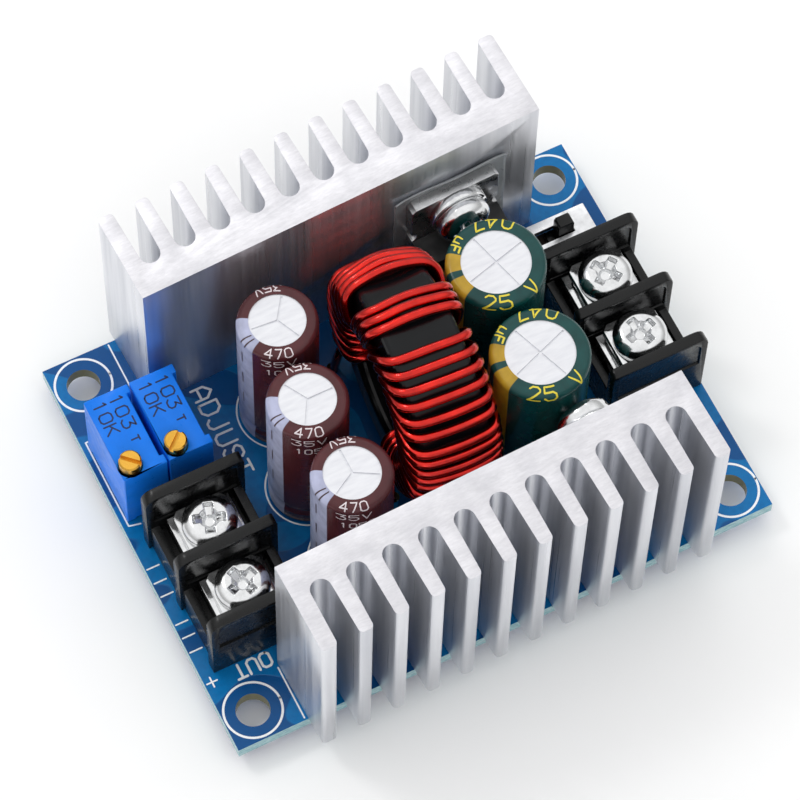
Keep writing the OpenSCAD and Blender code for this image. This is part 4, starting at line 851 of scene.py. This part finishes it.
device_screw("rectifier_screw", FRONT_WAY)
curled_pad("transistor_pad", "transistor_frame", REAR_WAY)
curled_pad("rectifier_pad", "rectifier_frame", FRONT_WAY)
wound_wire()
board_print()
trimmer_print()
capacitor_print()


# ---------------------------------------------------------------- floor, light and camera
def backdrop():
    """A plain pale floor. It looks white and keeps the module's shadow."""
    size = 2.0
    mesh = bpy.data.meshes.new("floor")
    corners = [(-size, -size, 0), (size, -size, 0), (size, size, 0), (-size, size, 0)]
    mesh.from_pydata(corners, [], [(0, 1, 2, 3)])
    floor = bpy.data.objects.new("floor", mesh)
    floor.location.z = -0.00002
    scene.collection.objects.link(floor)
    mat = bpy.data.materials.new("pale_paper")
    mat.use_nodes = True
    mat.node_tree.nodes.clear()
    shader = add(mat.node_tree, "ShaderNodeBsdfPrincipled", {"Base Color": linear("#fcfcfc"),
                                                             "Roughness": 0.9})[0]
    add(mat.node_tree, "ShaderNodeOutputMaterial", {"Surface": shader})
    mesh.materials.append(mat)


WALL_LIGHT, CEILING_LIGHT = 0.58, 1.13  # strength of the world's light, level and overhead


def room():
    """World light: an even white ceiling over darker walls, so that level metal shines and upright metal
    shows contrast. Straight behind the floor it is plain white."""
    world = bpy.data.worlds.new("studio")
    scene.world = world
    world.use_nodes = True
    tree = world.node_tree
    tree.nodes.clear()
    place = add(tree, "ShaderNodeTexCoord")["Generated"]
    up = add(tree, "ShaderNodeSeparateXYZ", {0: place})["Z"]
    strength = add(tree, "ShaderNodeMapRange", {0: up, 1: 0.2, 2: 0.75, 3: WALL_LIGHT, 4: CEILING_LIGHT},
                   interpolation_type="SMOOTHSTEP")[0]
    light = add(tree, "ShaderNodeBackground", {"Color": (1, 1, 1, 1), "Strength": strength})[0]
    plain = add(tree, "ShaderNodeBackground", {"Color": (1, 1, 1, 1), "Strength": 1.0})[0]
    seen = add(tree, "ShaderNodeLightPath")["Is Camera Ray"]
    both = add(tree, "ShaderNodeMixShader", {0: seen, 1: light, 2: plain})[0]
    add(tree, "ShaderNodeOutputWorld", {"Surface": both})


def lamp(name, place, aim, size, power):
    """A softbox at place that faces aim; its size in metres and its power in watts."""
    data = bpy.data.lights.new(name, "AREA")
    data.shape = "RECTANGLE"
    data.size, data.size_y = size
    data.energy = power
    obj = bpy.data.objects.new(name, data)
    obj.location = place
    obj.rotation_mode = "QUATERNION"
    obj.rotation_quaternion = (Vector(aim) - Vector(place)).to_track_quat("-Z", "Y")
    scene.collection.objects.link(obj)


def camera():
    """Long lens from the left front, high up."""
    data = bpy.data.cameras.new("camera")
    data.sensor_width = 36
    data.lens = 199.44
    data.clip_start, data.clip_end = 0.02, 10
    obj = bpy.data.objects.new("camera", data)
    obj.matrix_world = Matrix((
        (0.893479, 0.400557, -0.203101, -0.090621),
        (-0.448884, 0.810708, -0.375841, -0.166304),
        (0.014110, 0.426974, 0.904154, 0.413033),
        (0, 0, 0, 1)))
    scene.collection.objects.link(obj)
    scene.camera = obj


backdrop()
room()
lamp("softbox_rear_left", (-0.30, 0.45, 0.75), (0, 0, 0), (0.17, 0.17), 0.95)
lamp("strip_rear", (0.14, 0.66, 0.55), (0, 0, 0.01), (0.5, 0.02), 0.28)
camera()
scene.view_settings.view_transform = "Standard"
